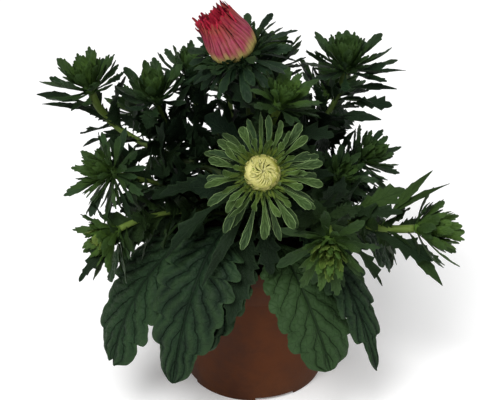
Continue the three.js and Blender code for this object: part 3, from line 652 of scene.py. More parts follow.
def soilCrumbs():
    # Small uneven lumps of three rings and two poles, scattered over the surface.
    key = np.arange(soilSizes["crumbs"]) + 9000
    edge = innerRadius(soilSizes["top"]) - soilSizes["gap"]
    reach, around = np.sqrt(draw(key)) * (edge - 4), draw(key + 0.3) * fullTurn
    x, y = reach * np.cos(around), reach * np.sin(around)
    z = soilSurface(x, y) + soilSizes["crumbLift"]
    size = soilSizes["crumbLeast"] + soilSizes["crumbRange"] * draw(key + 0.6)
    latitude, angle = np.array([-0.7, 0.0, 0.7])[:, None], anglesRound(6)
    rough = 1 + 0.35 * sway(key[:, None, None] * 7 + np.arange(3)[:, None] * 3.1 + np.arange(6))
    ring = np.cos(latitude) * rough * size[:, None, None]
    level = size[:, None, None] * 0.8 * np.repeat(latitude, 6, 1)
    spread = (ring * np.cos(angle), ring * np.sin(angle), level)
    crumbs = np.stack([middle[:, None, None] + part for middle, part in zip((x, y, z), spread)], -1)
    poles = np.stack([np.column_stack([x, y, z + sign * size * 0.85]) for sign in (-1, 1)], 1)
    return plainBatch(crumbs, poles, tint=draw(key + 0.9))


def buildSoil():
    material, tree, shader = emptyMaterial("soilPeat", 0.95, 0.1)
    grain = groupNode(tree, mottleGroup, Scale=260.0, Speck=0.8)["Value"]
    tree.links.new(mixOf(tree, grain, rgb(12, 9, 7), rgb(34, 25, 19)), shader.inputs["Base Color"])
    addBump(tree, shader, grain, 0.8, 0.0012)
    addSurface("soil_top", [soilFilling(), soilCrumbs()], material, "soil_peat", "soil")


buildSoil()
print("soil built")


plant = {
    "mainStemRadius": 3.4, "sideStemRadius": 1.9, "jointOffset": 6.0, "stemStart": 68.0, "footGap": 0.3,
    "leafCup": 0.16, "bractCup": 0.12, "hang": 0.18, "stray": 8.0, "whorlRise": 2.0,
    "leavesPerStem": 8, "toothedPerStem": 4, "rootDepth": 1.2, "toothedWidth": 22, "lanceWidth": 9,
    "toothedAbove": 11, "cutBelow": 18,
}

# Each form of head: sides of its receptacle, its bracts' shape, how much shorter and how unevenly they
# are drawn, its whorls from the outermost in as angle from the axis, share of the reach, width and bend;
# then the bracts' width against the solid's, how pointed and toothed they are, how far they twist and
# curl; then the bracts that fill the head up between the whorls: how many, their angle from the axis,
# share of the reach and width from the innermost to the outermost, and bend; and how many young bracts.
headForms = {
    "open": {"sides": 14, "blade": "longBract", "shorter": (1.02, 1.02, 1), "uneven": 0.2,
        "whorls": [(100, 1, 7.4, 34), (78, 0.94, 7.2, 20), (52, 0.6, 5.6, -18)], "slim": 0.74,
        "pointed": 0.35, "teeth": 0.4, "twist": 64, "curl": 0.22, "fill": 15, "fillAngle": (40, 108),
        "fillShare": (0.5, 1.06), "fillWidth": (3.2, 4.8), "fillBend": 6, "young": 0},
    "showy": {"sides": 12, "blade": "longBract", "shorter": (1, 1, 1), "uneven": 0.1,
        "whorls": [(114, 0.92, 7.6, 46), (90, 1, 7.6, 20), (66, 0.78, 6.8, 6)], "slim": 0.82,
        "pointed": 0.6, "teeth": 0.6, "twist": 34, "curl": 0.1, "fill": 24, "fillAngle": (60, 112),
        "fillShare": (0.42, 0.86), "fillWidth": (4.6, 6.0), "fillBend": 14, "young": 0},
    "cup": {"sides": 7, "blade": "bract", "shorter": (1, 1.03, 0.88, 0.72), "uneven": 0,
        "whorls": [(80, 1, 8, -30), (58, 0.98, 7.6, -24), (36, 0.9, 7, -16), (14, 0.78, 6, -8)],
        "slim": 0.88, "pointed": 0.5, "teeth": 0.4, "twist": 26, "curl": 0.09, "fill": 26,
        "fillAngle": (12, 72), "fillShare": (0.56, 0.86), "fillWidth": (3.2, 5.4), "fillBend": -24,
        "young": 20},
    "loose": {"sides": 7, "blade": "bract", "shorter": (1, 1, 0.9, 0.8), "uneven": 0,
        "whorls": [(92, 1, 8, 20), (68, 0.96, 7.6, 6), (42, 0.8, 7, -8), (16, 0.6, 5.6, -8)],
        "slim": 0.78, "pointed": 0.6, "teeth": 0.5, "twist": 40, "curl": 0.14, "fill": 22,
        "fillAngle": (16, 90), "fillShare": (0.45, 0.84), "fillWidth": (3.0, 4.8), "fillBend": -6,
        "young": 20},
}

# What a head may say otherwise: how much longer it is to one side, how far its outer bracts lean back,
# width of the filling bracts, of the young ones, their spread and how fresh they are, and how fresh and
# wide the leaves with a place of their own are.
usualHead = {
    "lean": 0, "backward": 0, "fillSlim": 1, "youngWidth": 1, "youngSpread": 1, "youngFresh": 0.8,
    "leafFresh": (0.3,) * 9, "leafSlim": (1,) * 9,
}


def headOf(name, at, aim, reach, form, spread, core, joint, fresh, leaves=(), **own):
    return {
        **usualHead, **headForms[form], "name": name, "form": form, "at": np.array(at, float),
        "aim": unit(np.array(aim, float)), "reach": reach, "spread": spread, "core": core, "joint": joint,
        "fresh": fresh, "leaves": leaves, **own,
    }


# Heads: foot, aim, reach, form, how far it spreads against its form, receptacle radius, joint on the main
# stem, how fresh a green, and the leaves with a place of their own: share of the stem, tip, width, roll.
heads = [
    headOf("pink", (-8, 4, 207), (-0.34, -0.2, 0.92), 27, "showy", 1, 8.6, None, -0.2, lean=0.16),
    headOf("01", (4, -66, 172), (0.02, -0.82, 0.57), 23.5, "open", 1, 12, 0.31, 0.2,
           leaves=[(0.28, (-13, -84, 86), 22, 0), (0.5, (-27, -80, 108), 9, 0),
           (0.4, (8, -68, 108), 15, 0), (0.7, (-52, -70, 122), 13, 0), (0.74, (25, -68, 136), 10, 0),
           (0.4, (-54, -46, 150), 19, 0), (0.42, (48, -46, 150), 19, 0)]),
    headOf("02", (-95, 15, 182), (-0.2, -0.12, 0.95), 23, "cup", 0.88, 4.2, 0.35, 0.3,
           leaves=[(0.9, (-125, 14, 189), 8, -35), (0.84, (-124, 8, 178), 6, -35),
           (0.72, (-111, 6, 179), 8, -30)]),
    headOf("03", (-57, 18, 174), (-0.12, -0.16, 0.98), 22, "cup", 0.85, 4.2, 0.4, 0.16,
           leaves=[(0.45, (-20, 0, 186), 16, 0), (0.3, (-34, -12, 176), 16, 0)]),
    headOf("04", (-38, 40, 177), (0.05, 0.1, 0.99), 20.5, "cup", 0.85, 4.2, 0.44, 0.14),
    headOf("05", (13, -22, 190), (0.35, -0.25, 0.9), 22, "loose", 0.8, 4.2, 0.48, 0.4,
           leaves=[(0.4, (39, -40, 164), 14, 0)]),
    headOf("06", (53, 22, 192), (0.08, -0.1, 0.99), 25, "cup", 1.05, 4.4, 0.38, 0.17,
           leaves=[(0.92, (85, 14, 205), 6, 35), (0.86, (83, 10, 185), 8, 40),
           (0.7, (81, 6, 178), 12, 30), (0.6, (74, 0, 173), 9, 30)], shorter=(1, 0.96, 0.72, 0.66),
           fill=50, young=26),
    headOf("07", (61.5, 4, 142), (0.66, -0.3, 0.66), 19.5, "cup", 0.9, 4.2, 0.28, 0.12,
           leaves=[(0.5, (61, -34, 146), 14, 0), (0.75, (88, 0, 170), 11, 0)], slim=0.62, fillSlim=0.75,
           fill=36, young=12),
    headOf("08", (92, -38, 121), (0.97, -0.16, 0.18), 21, "cup", 0.7, 4.2, 0.23, 0.64,
           leaves=[(0.5, (86, -34, 160), 15, 60), (0.8, (100, -40, 160), 7, 45),
           (0.76, (109, -47, 155), 6, 40), (0.62, (103, -50, 105), 17, 50),
           (0.86, (109, -48, 88), 8, 40), (0.4, (80, -44, 146), 17, 50)],
           shorter=(1.08, 1.1, 0.99, 1.04), young=8, leafFresh=(0.8, 0.7, 0.6, 0.15, 0.6, 0.2),
           leafSlim=(1.0, 1.2, 1.2, 1.0, 1.2, 0.6)),
    headOf("09", (41, -72, 136), (-0.1, -0.93, -0.2), 25, "loose", 0.85, 4.2, 0.26, 0.5,
           leaves=[(0.62, (75, -66, 101), 13, 0)], youngFresh=0.2, young=14, youngWidth=1.7,
           youngSpread=2.0),
    headOf("10", (-78, -28, 151), (-0.72, -0.5, 0.48), 26, "loose", 0.95, 4.2, 0.29, 0.28,
           leaves=[(0.5, (-44, -34, 168), 10, 0), (0.3, (-31, -34, 142), 16, 0),
           (0.4, (-60, -24, 148), 18, 0)], fill=60, backward=34, slim=0.6, fillSlim=0.8),
    headOf("11", (-76, -50, 128), (-0.74, -0.5, -0.2), 22, "loose", 0.75, 4, 0.23, 0.6,
           leaves=[(0.76, (-96, -66, 102), 16, 0)], young=10, youngWidth=1.9, youngFresh=0.4),
    headOf("12", (47, -16, 142), (0.35, -0.62, 0.7), 19, "loose", 0.85, 3.8, 0.34, 0.1, slim=0.6,
           fillSlim=0.8, young=12),
    headOf("13", (-70, 62, 142), (-0.5, 0.6, 0.62), 25, "loose", 0.85, 4.2, 0.25, 0.3),
    headOf("14", (-16, 88, 146), (-0.1, 0.8, 0.6), 25, "cup", 0.8, 4.2, 0.27, 0.3),
    headOf("15", (46, 74, 150), (0.4, 0.66, 0.62), 25, "cup", 0.8, 4.2, 0.31, 0.25),
    headOf("16", (8, 44, 184), (0.15, 0.5, 0.85), 23.5, "cup", 0.85, 4.2, 0.5, 0.2),
]
pinkHead, paleHead = heads[:2]

# How a blade may have been turned, lifted or shortened to keep clear of its neighbours.
changes = np.array([
    (scale, turn, lift)
    for scale in (1, 0.85, 0.7, 0.55) for turn in (0, 12, -12, 24, -24) for lift in (0, 12, -12, 24)
], float)

# For finding a blade in the solids: how close a corner has to be, and where the solid of each kind is
# widest, as place along the blade and share of its width.
cornerReach = 0.08
solidStations = {"longBract": (0.82, 1), "bract": (0.76, 1), "lance": (0.64, 0.76), "toothed": (0.68, 1)}


def behindHead(head, distance):
    return head["at"] - head["aim"] * distance


def arcOf(root, tip, side, bend):
    # The circular arc from root to tip that turns by bend degrees and bulges to its upper face.
    chord = tip - root
    length = np.linalg.norm(chord, axis=-1)
    along = chord / length[..., None]
    face = unit(np.cross(along, side))
    turn = np.radians(np.where(np.abs(bend) < 1, 1.0, bend))
    return {"root": root, "along": along, "face": face, "across": np.cross(face, along), "turn": turn,
            "scale": length / (2 * np.sin(turn / 2))}


def arcPlaces(arc, s):
    # Points, face directions and forward directions of many arcs at the stations s.
    angle = arc["turn"][:, None] * (s - 0.5)
    half = arc["turn"][:, None] / 2
    forward = ((np.sin(angle) + np.sin(half)) * arc["scale"][:, None])[..., None]
    lift = ((np.cos(angle) - np.cos(half)) * arc["scale"][:, None])[..., None]
    along, face = arc["along"][:, None], arc["face"][:, None]
    point = arc["root"][:, None] + along * forward + face * lift
    cosine, sine = np.cos(angle)[..., None], np.sin(angle)[..., None]
    return point, face * cosine + along * sine, along * cosine - face * sine


def nodeCorners(name):
    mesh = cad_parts[name].data
    points = np.empty(len(mesh.vertices) * 3, np.float32)
    mesh.vertices.foreach_get("co", points)
    return np.unique(np.round(points.reshape(-1, 3) / metresPerMillimetre, 3), axis=0)


def radialWays(place, spec):
    # Root, tip and side of a blade that leaves an axis at an angle, for every change.
    theta = np.radians(spec["theta"] - changes[:, 2])[:, None]
    outward = outwardAt(place, spec["phi"] + spec["stray"] + changes[:, 1])
    heading = place["axis"] * np.cos(theta) + outward * np.sin(theta)
    favour = 1 - spec["hang"] * outward[:, 2] + spec["lean"] * outward[:, 0]
    tip = spec["root"] + heading * (spec["length"] * changes[:, 0] * favour)[:, None]
    roll = np.full(len(changes), math.radians(spec["roll"]))
    side = turned(np.cross(place["axis"], outward), heading, roll)
    return tip, side


def aimedWays(spec):
    # The same for a blade that is aimed at a point.
    chord = turned(np.array(spec["tip"], float) - spec["root"], upward, np.radians(changes[:, 1]))
    side = unit(np.cross(upward, chord))
    chord = turned(chord, side, -np.radians(changes[:, 2])) * changes[:, :1]
    side = turned(side, unit(chord), np.full(len(changes), math.radians(spec["roll"])))
    return spec["root"] + chord, side


def asPlaced(spec, tip, side, corners):
    # Of all changes, the first whose tip and widest corners are corners of the solid, or none.
    root = np.repeat(spec["root"][None], len(changes), 0)
    arc = arcOf(root, tip, side, np.full(len(changes), spec["bend"]))
    station, share = solidStations[spec["blade"]]
    half = spec["width"] * share / 2
    point, face, _ = arcPlaces(arc, np.array([station]))
    widest = point[:, 0] + face[:, 0] * spec["cup"] * half
    looked = np.stack([tip, widest + arc["across"] * half, widest - arc["across"] * half], 1)
    near = np.linalg.norm(looked[:, :, None] - corners, axis=-1).min(-1) < cornerReach
    found = np.flatnonzero(near.sum(-1) >= 2)
    if not len(found):
        return None
    way = found[0]
    return {**spec, "tip": tip[way], "side": side[way]}


def receptaclePoint(head, ring, corner):
    place = frameAt(head["at"], head["aim"])
    angle = (corner + 0.5 * ring) * 360 / head["sides"]
    return place["at"] + place["axis"] * ring * plant["whorlRise"] + outwardAt(place, angle) * head["core"]


def headHeight(head):
    return len(head["whorls"]) * plant["whorlRise"]


def greenOf(head, inner, key):
    # How fresh a bract is, from the outermost (inner 0) to the innermost (inner 1) of its head.
    return head["fresh"] * (0.45 + 0.65 * inner) + 0.4 * inner**1.5 + 0.09 * sway(key + 0.7)


def headBlades(head, index):
    place = frameAt(head["at"], head["aim"])
    corners = nodeCorners("head_" + head["name"])
    blades = []
    for w, (theta, share, width, bend) in enumerate(head["whorls"]):
        for i in range(head["sides"]):
            key = index * 97 + w * 31 + i
            spec = {
                "root": (receptaclePoint(head, w + 1, i) + receptaclePoint(head, w + 1, i - 1)) / 2,
                "phi": (i + 0.5 * w) * 360 / head["sides"],
                "stray": plant["stray"] * sway(key + 0.1),
                "theta": theta * head["spread"] + 8 * sway(key + 0.2),
                "length": head["reach"] * share * (1 + 0.14 * sway(key + 0.3)),
                "hang": plant["hang"], "lean": head["lean"],
                "width": width, "bend": bend + 14 * sway(key + 0.4), "roll": 16 * sway(key + 0.5),
                "blade": head["blade"], "cup": plant["bractCup"], "key": key,
                "fresh": greenOf(head, w / 3, key),
            }
            if head["blade"] == "bract" and w == 0 and draw(key + 0.33) < 0.35:
                spec["shape"] = "cut"
            found = asPlaced(spec, *radialWays(place, spec), corners)
            if found:
                left = head["shorter"][w] * (1 - head["uneven"] * draw(key + 0.57))
                found["tip"] = found["root"] + (found["tip"] - found["root"]) * left
                blades.append(found)
    return blades


def stemBlades(head, index, curve):
    corners = nodeCorners("stem_" + head["name"] if index else "main_stem")
    blades = []
    for i, (t, tip, width, roll) in enumerate(head["leaves"]):
        key = index * 41 + i + 2500
        spec = {
            "root": bezier(curve, t), "tip": tip, "width": width, "bend": 40 + 10 * sway(key),
            "blade": "toothed" if width > plant["toothedAbove"] else "lance",
            "roll": roll + 12 * sway(key + 0.5), "cup": plant["leafCup"], "key": key,
            "fresh": head["fresh"] * head["leafFresh"][i], "slim": head["leafSlim"][i],
            "wedge": 0.95 if roll else 0.4,
        }
        if plant["toothedAbove"] < width < plant["cutBelow"]:
            spec["shape"] = "cut"
        elif width < plant["toothedAbove"]:
            spec["teeth"] = 0.15
        blades.append(asPlaced(spec, *aimedWays(spec), corners))
    for i in range(plant["leavesPerStem"]):
        key = index * 53 + i + 700
        height = i / (plant["leavesPerStem"] - 1)
        t = 0.26 + 0.68 * height
        place = frameAt(bezier(curve, t), bezierHeading(curve, t))
        low = i < plant["toothedPerStem"]
        phi = i * goldenAngle + index * 40
        spec = {
            "root": place["at"] - outwardAt(place, phi) * plant["rootDepth"], "phi": phi,
            "stray": 12 * sway(key + 0.1), "theta": 60 + 10 * sway(key + 0.2),
            "length": (50 - 26 * height) * (1 + 0.15 * sway(key + 0.3)), "hang": 0, "lean": 0,
            "width": plant["toothedWidth" if low else "lanceWidth"], "bend": 34 + 14 * sway(key + 0.4),
            "roll": 20 * sway(key + 0.5), "blade": "toothed" if low else "lance", "key": key,
            "cup": plant["leafCup"], "fresh": head["fresh"] * (0.15 if low else 0.5),
            "wedge": 0.7 * draw(key + 0.8),
        }
        if low and draw(key + 0.9) < 0.5:
            spec["shape"] = "cut"
        blades.append(asPlaced(spec, *radialWays(place, spec), corners))
    return [blade for blade in blades if blade]


mainCurve = np.array([
    (0, 0, plant["stemStart"]), (0, 0, 130), behindHead(pinkHead, 30), behindHead(pinkHead, plant["footGap"]),
])


def sideCurve(head):
    heading = unit(np.array([head["at"][0], head["at"][1], 0.0]))
    start = bezier(mainCurve, head["joint"]) + heading * plant["jointOffset"]
    span = np.linalg.norm(start - head["at"])
    return np.array([
        start, start + heading * span * 0.3 + upward * span * 0.12,
        behindHead(head, span * 0.36), behindHead(head, plant["footGap"]),
    ])


curves = [sideCurve(head) if head["joint"] else mainCurve for head in heads]
# These side stems are drawn thicker than the others.
stoutStems = ("01", "02", "05", "06", "08")


# Each kind of blade: stations along it, the share of the full width there in a round and in an acute
# outline, what its teeth add or take, and its crease, thickness and wave.
bladeShapes = {
    "longBract": {
        "at": [-0.03, 0.12, 0.26, 0.38, 0.48, 0.57, 0.65, 0.72, 0.775, 0.83, 0.88, 0.92, 0.955, 0.985],
        "round": [0.34, 0.28, 0.3, 0.38, 0.5, 0.64, 0.79, 0.91, 0.97, 1.0, 0.97, 0.88, 0.7, 0.4],
        "acute": [0.34, 0.28, 0.34, 0.48, 0.64, 0.8, 0.93, 1.0, 0.97, 0.86, 0.72, 0.52, 0.32, 0.14],
        "tooth": [0, 0, 0, 0, 0, 0, -0.02, 0.13, -0.12, -0.03, 0.16, -0.1, -0.02, 0],
        "crease": 0.5, "thickness": 0.6, "wave": 0.5,
    },
    "bract": {
        "at": [-0.03, 0.12, 0.24, 0.36, 0.46, 0.55, 0.63, 0.7, 0.76, 0.82, 0.87, 0.915, 0.955, 0.985],
        "round": [0.4, 0.36, 0.44, 0.56, 0.68, 0.8, 0.9, 0.97, 1, 0.97, 0.9, 0.78, 0.6, 0.34],
        "acute": [0.4, 0.38, 0.5, 0.66, 0.82, 0.94, 1, 0.97, 0.88, 0.76, 0.6, 0.44, 0.27, 0.12],
        "tooth": [0, 0, 0, 0, 0, 0, 0, 0.13, -0.14, -0.02, 0.24, -0.2, -0.04, 0],
        "crease": 0.5, "thickness": 0.6, "wave": 0.45,
    },
    "toothed": {
        "at": [-0.02, 0.07, 0.15, 0.23, 0.3, 0.355, 0.375, 0.42, 0.465, 0.485, 0.53, 0.575, 0.595, 0.64,
               0.685, 0.705, 0.75, 0.79, 0.81, 0.85, 0.885, 0.905, 0.94, 0.97, 0.99],
        "round": [0.14, 0.1, 0.12, 0.26, 0.46, 0.66, 0.52, 0.7, 0.96, 0.72, 0.82, 1.06, 0.8, 0.88, 1.04,
               0.76, 0.8, 0.92, 0.64, 0.62, 0.68, 0.46, 0.4, 0.3, 0.16],
        "acute": [0.14, 0.1, 0.11, 0.18, 0.32, 0.52, 0.4, 0.62, 0.9, 0.66, 0.76, 1.02, 0.74, 0.78, 0.92,
               0.64, 0.62, 0.7, 0.46, 0.42, 0.44, 0.28, 0.22, 0.14, 0.07],
        "tooth": [0, 0, 0, 0, 0, 0.06, -0.04, 0, 0.08, -0.06, 0, 0.08, -0.06, 0, 0.08, -0.06, 0, 0.08,
               -0.04, 0, 0.06, -0.02, 0, 0, 0],
        "crease": 0.8, "thickness": 0.7, "wave": 0.9,
    },
    "cut": {
        "at": [-0.02, 0.07, 0.16, 0.25, 0.33, 0.4, 0.44, 0.5, 0.555, 0.6, 0.66, 0.71, 0.75, 0.8, 0.845,
               0.88, 0.93, 0.97],
        "round": [0.14, 0.1, 0.1, 0.16, 0.3, 0.48, 0.4, 0.62, 0.86, 0.62, 0.82, 1.04, 0.7, 0.8, 0.9, 0.5,
               0.42, 0.2],
        "acute": [0.14, 0.1, 0.1, 0.14, 0.24, 0.4, 0.3, 0.52, 0.78, 0.5, 0.7, 0.96, 0.58, 0.66, 0.74,
               0.36, 0.3, 0.12],
        "tooth": [0, 0, 0, 0, 0, 0.06, -0.05, 0, 0.12, -0.1, 0, 0.16, -0.14, 0, 0.16, -0.12, 0, 0],
        "crease": 0.7, "thickness": 0.6, "wave": 0.8,
    },
    "lance": {
        "at": [-0.02, 0.08, 0.18, 0.27, 0.35, 0.43, 0.5, 0.56, 0.6, 0.66, 0.72, 0.76, 0.82, 0.88, 0.94,
               0.98],
        "round": [0.22, 0.17, 0.18, 0.3, 0.52, 0.76, 0.92, 1.0, 0.86, 0.84, 0.86, 0.68, 0.6, 0.42, 0.24,
               0.12],
        "acute": [0.22, 0.17, 0.16, 0.22, 0.42, 0.72, 0.94, 1.0, 0.9, 0.74, 0.7, 0.5, 0.36, 0.24, 0.13,
               0.06],
        "tooth": [0, 0, 0, 0, 0, 0, 0, 0.1, -0.06, 0, 0.12, -0.06, 0, 0, 0, 0],
        "crease": 0.5, "thickness": 0.6, "wave": 0.5,
    },
}
# What a blade is unless it says otherwise, and its points over the top.
usualBlade = {"slim": 1, "pointed": 0.5, "teeth": 0.5, "twist": 22, "curl": 0.05, "wedge": 0}
bladePoints = 3


def bladeBatch(blades, shape):
    # Each blade is its arc carried sideways by the half width and along the face by the cup, less a
    # crease at the midrib, plus a wave that grows to the edge; a lens of thickness closes it below.
    # The half width lies between a round and an acute outline, narrowed towards the foot by the wedge,
    # with teeth drawn for each side.
    blades = [{**usualBlade, **blade} for blade in blades]

    def numbers(label):
        return np.array([blade[label] for blade in blades], float)

    s, rounded, acute, tooth = (np.array(shape[label], float) for label in ("at", "round", "acute", "tooth"))
    key = numbers("key")
    width = numbers("width") * numbers("slim") * (0.94 + 0.1 * sway(key + 0.15))
    pointed, toothed = numbers("pointed"), numbers("teeth")
    arc = arcOf(*(numbers(label) for label in ("root", "tip", "side", "bend")))
    length = np.linalg.norm(numbers("tip") - numbers("root"), axis=-1)
    cup = numbers("cup")[:, None, None]
    point, face, forward = arcPlaces(arc, s)
    twist = np.radians(numbers("twist") * sway(key + 0.65))[:, None] * eased(s, 0.15, 1)
    across = turned(np.repeat(arc["across"][:, None], len(s), 1), forward, twist)
    face = turned(face, forward, twist)
    # The tip half swings sideways, and nods or rises by the blade's own curl.
    swing = length * 0.04 * sway(key + 0.75)
    curl = length * numbers("curl") * sway(key + 0.95)
    late = np.clip(s, 0, 1) ** 2.5
    point = point + across * (swing[:, None] * late)[..., None] + face * (curl[:, None] * late)[..., None]
    v, side = crossSection(bladePoints)
    # Half widths of the left and right edge: blade x station x side.
    mixed = rounded + (acute - rounded) * np.clip(pointed[:, None] + 0.35 * sway(key + 0.85)[:, None], 0, 1)
    mixed = mixed * (1 - 0.66 * numbers("wedge")[:, None] * (1 - eased(s, 0.25, 0.75)) * eased(s, 0.02, 0.2))
    drawn = draw(key[:, None, None] * 3 + np.arange(len(s))[:, None] // 2 * 0.37 + np.array([0.0, 0.71]))
    cut = tooth[:, None] * toothed[:, None, None] * 2 * drawn
    bothSides = (mixed[..., None] + cut) * width[:, None, None] / 2
    half = np.where(v > 0, bothSides[..., 1:], bothSides[..., :1])
    edge = np.abs(v)
    wave = shape["wave"] * np.sin(fullTurn * (s * 2.6 + draw(key + 0.25)[:, None]))[..., None]
    lean = sway(key + 0.35)[:, None, None] * 0.5 * np.sin(math.pi * np.clip(s, 0, 1))[:, None]
    lift = cup * half * edge**1.3 - shape["crease"] * (1 - edge) ** 1.5 * np.minimum(1, half / 3)
    lift = lift + (wave * v * edge + lean * edge) * np.minimum(1, half / 4)
    lift = lift + side * shape["thickness"] / 2 * np.sqrt(1 - v * v) * (1 - 0.35 * eased(s, 0.5, 1))[:, None]
    push = np.where(v > 0, cut[..., 1:], cut[..., :1]) * edge**2 * length[:, None, None] * 0.12
    rings = (
        point[:, :, None] + across[:, :, None] * (half * v)[..., None]
        + face[:, :, None] * lift[..., None] + forward[:, :, None] * push[..., None]
    )
    ends, _, _ = arcPlaces(arc, np.array([s[0] - 0.01, 1.0]))
    ends[:, 1] = rings[:, -1].mean(1) + forward[:, -1] * (length * 0.015)[:, None]
    fresh = np.clip(numbers("fresh"), 0, 1)
    return ringsOf(rings, ends, (v + 1) / 2, np.clip(s, 0, 1), tint=draw(key + 0.45), fresh=fresh)


def bladeBatches(blades):
    # One batch for each kind of blade among them.
    kindOf = [blade.get("shape", blade["blade"]) for blade in blades]
    return [
        bladeBatch([blade for blade, its in zip(blades, kindOf) if its == kind], shape)
        for kind, shape in bladeShapes.items() if kind in kindOf
    ]


def domeBatch(place, radius, height, columns=20, fresh=0.5):
    # The receptacle: a drum with a rounded top, from a narrower foot.
    rise = np.array([0, 0.12, 0.35, 0.7, 0.86, 0.95, 1.0])
    reach = np.array([0.5, 0.75, 0.97, 1.0, 0.86, 0.6, 0.3])
    angle = anglesRound(columns)
    around = place["u"] * np.cos(angle)[:, None] + place["v"] * np.sin(angle)[:, None]
    centre = place["at"] + place["axis"] * (rise * height)[:, None]
    rings = centre[:, None] + around * (reach * radius)[:, None, None]
    ends = np.array([place["at"], place["at"] + place["axis"] * height * 1.02])
    return plainBatch(rings[None], ends[None], tint=0.5, fresh=fresh)


# What filling bracts take from their head's form.
filledAlike = ("pointed", "teeth", "twist", "curl")


def fillBracts(head, index, place):
    # Bracts between the whorls, in a spiral from the middle out; the outer ones leave lower down.
    axis, count = place["axis"], head["fill"]
    blades = []
    for i in range(count):
        key = index * 61 + i + 8000
        q = (i + 0.5) / count
        outward = outwardAt(place, i * goldenAngle + index * 31)
        ranges = (head[label] for label in ("fillAngle", "fillShare", "fillWidth"))
        angle, share, width = (low + (high - low) * q for low, high in ranges)
        angle += head["backward"] * q
        theta = math.radians(angle * head["spread"] + 8 * sway(key + 0.2))
        heading = axis * math.cos(theta) + outward * math.sin(theta)
        root = place["at"] + axis * headHeight(head) * (0.92 - 0.75 * q)
        root = root + outward * head["core"] * (0.6 + 0.32 * q)
        favour = 1 - plant["hang"] * outward[2] + head["lean"] * outward[0]
        length = head["reach"] * share * favour * (1 + 0.12 * sway(key + 0.3))
        blades.append({
            **{label: head[label] for label in filledAlike}, "root": root, "tip": root + heading * length,
            "side": turned(np.cross(axis, outward), heading, np.radians(18 * sway(key + 0.5))),
            "bend": head["fillBend"] + 16 * sway(key + 0.4), "width": width * head["fillSlim"], "cup": 0.2,
            "key": key, "blade": head["blade"], "fresh": greenOf(head, 1 - q, key),
        })
    return blades


def youngBracts(head, index, place):
    # Small bracts that close over the middle of a green head, in a spiral.
    axis, count = place["axis"], head["young"]
    blades = []
    for i in range(count):
        key = index * 13 + i + 5000
        q = (i + 0.5) / count
        outward = outwardAt(place, i * goldenAngle)
        root = place["at"] + axis * headHeight(head) * (0.8 + 0.15 * q)
        root = root + outward * head["core"] * (0.85 - 0.6 * q)
        rise = head["reach"] * (0.56 - 0.16 * q) * (1 + 0.12 * sway(key + 0.1))
        aside = (5.4 - 6 * q) * head["youngSpread"] * (1 + 0.4 * sway(key))
        blades.append({
            "root": root, "tip": root + axis * rise + outward * aside, "side": np.cross(axis, outward),
            "bend": -22.0, "width": (3.6 - 1.2 * q) * head["youngWidth"], "cup": 0.3, "blade": "bract",
            "key": key, "pointed": 0.8, "teeth": 0.6,
            "fresh": head["youngFresh"] * greenOf(head, 1, key) + 0.15 * q,
        })
    return blades


def buildHead(head, index):
    place = frameAt(head["at"], head["aim"])
    looks = {label: head[label] for label in (*filledAlike, "slim")}
    blades = [{**blade, **looks} for blade in headBlades(head, index)]
    found = len(blades)
    batches = bladeBatches(blades + fillBracts(head, index, place))
    fresh = min(1, head["fresh"] + 0.2)
    batches.append(domeBatch(place, head["core"] * 0.98, headHeight(head), fresh=fresh))
    name = "head_" + head["name"]
    material = paleHeadGreen if head["form"] == "open" else bractGreen
    addSurface(name + "_bracts", batches, material, "bract_green", name)
    young = youngBracts(head, index, place)
    if young:
        material = fringeGreen if head["name"] in ("09", "11") else bractGreen
        addSurface(name + "_young_bracts", bladeBatches(young), material, "bract_green", name)
    return found, len(head["whorls"]) * head["sides"]


foundBracts = np.sum([buildHead(head, index) for index, head in enumerate(heads)], axis=0)
print("bracts built:", foundBracts[0], "of", foundBracts[1])


# Broad dark leaves inside the plant: stem, share of the stem, tip, width, roll.
innerLeaves = [
    ("03", 0.97, (-62, -5, 169), 14, 0), ("03", 0.56, (-54, -25, 142), 17, 20),
    ("10", 0.24, (-58, -45, 144), 17, 10), ("12", 0.59, (38, -35, 163), 14, 0),
    ("08", 0.58, (59, -40, 154), 15, 30), ("04", 0.85, (-48, 10, 165), 14, 0),
    ("11", 0.8, (-97, -67, 103), 17, 10), ("02", 0.6, (-80, -5, 160), 14, 10),
    ("02", 0.52, (-60, -10, 163), 14, 10), ("02", 0.27, (-37, -30, 151), 16, 0),
    ("02", 0.27, (-31, -20, 156), 16, 0), ("10", 0.5, (-62, -34, 128), 15, 0),
    ("02", 0.45, (-62, -6, 136), 15, 10),
]
smallPerStem = 20


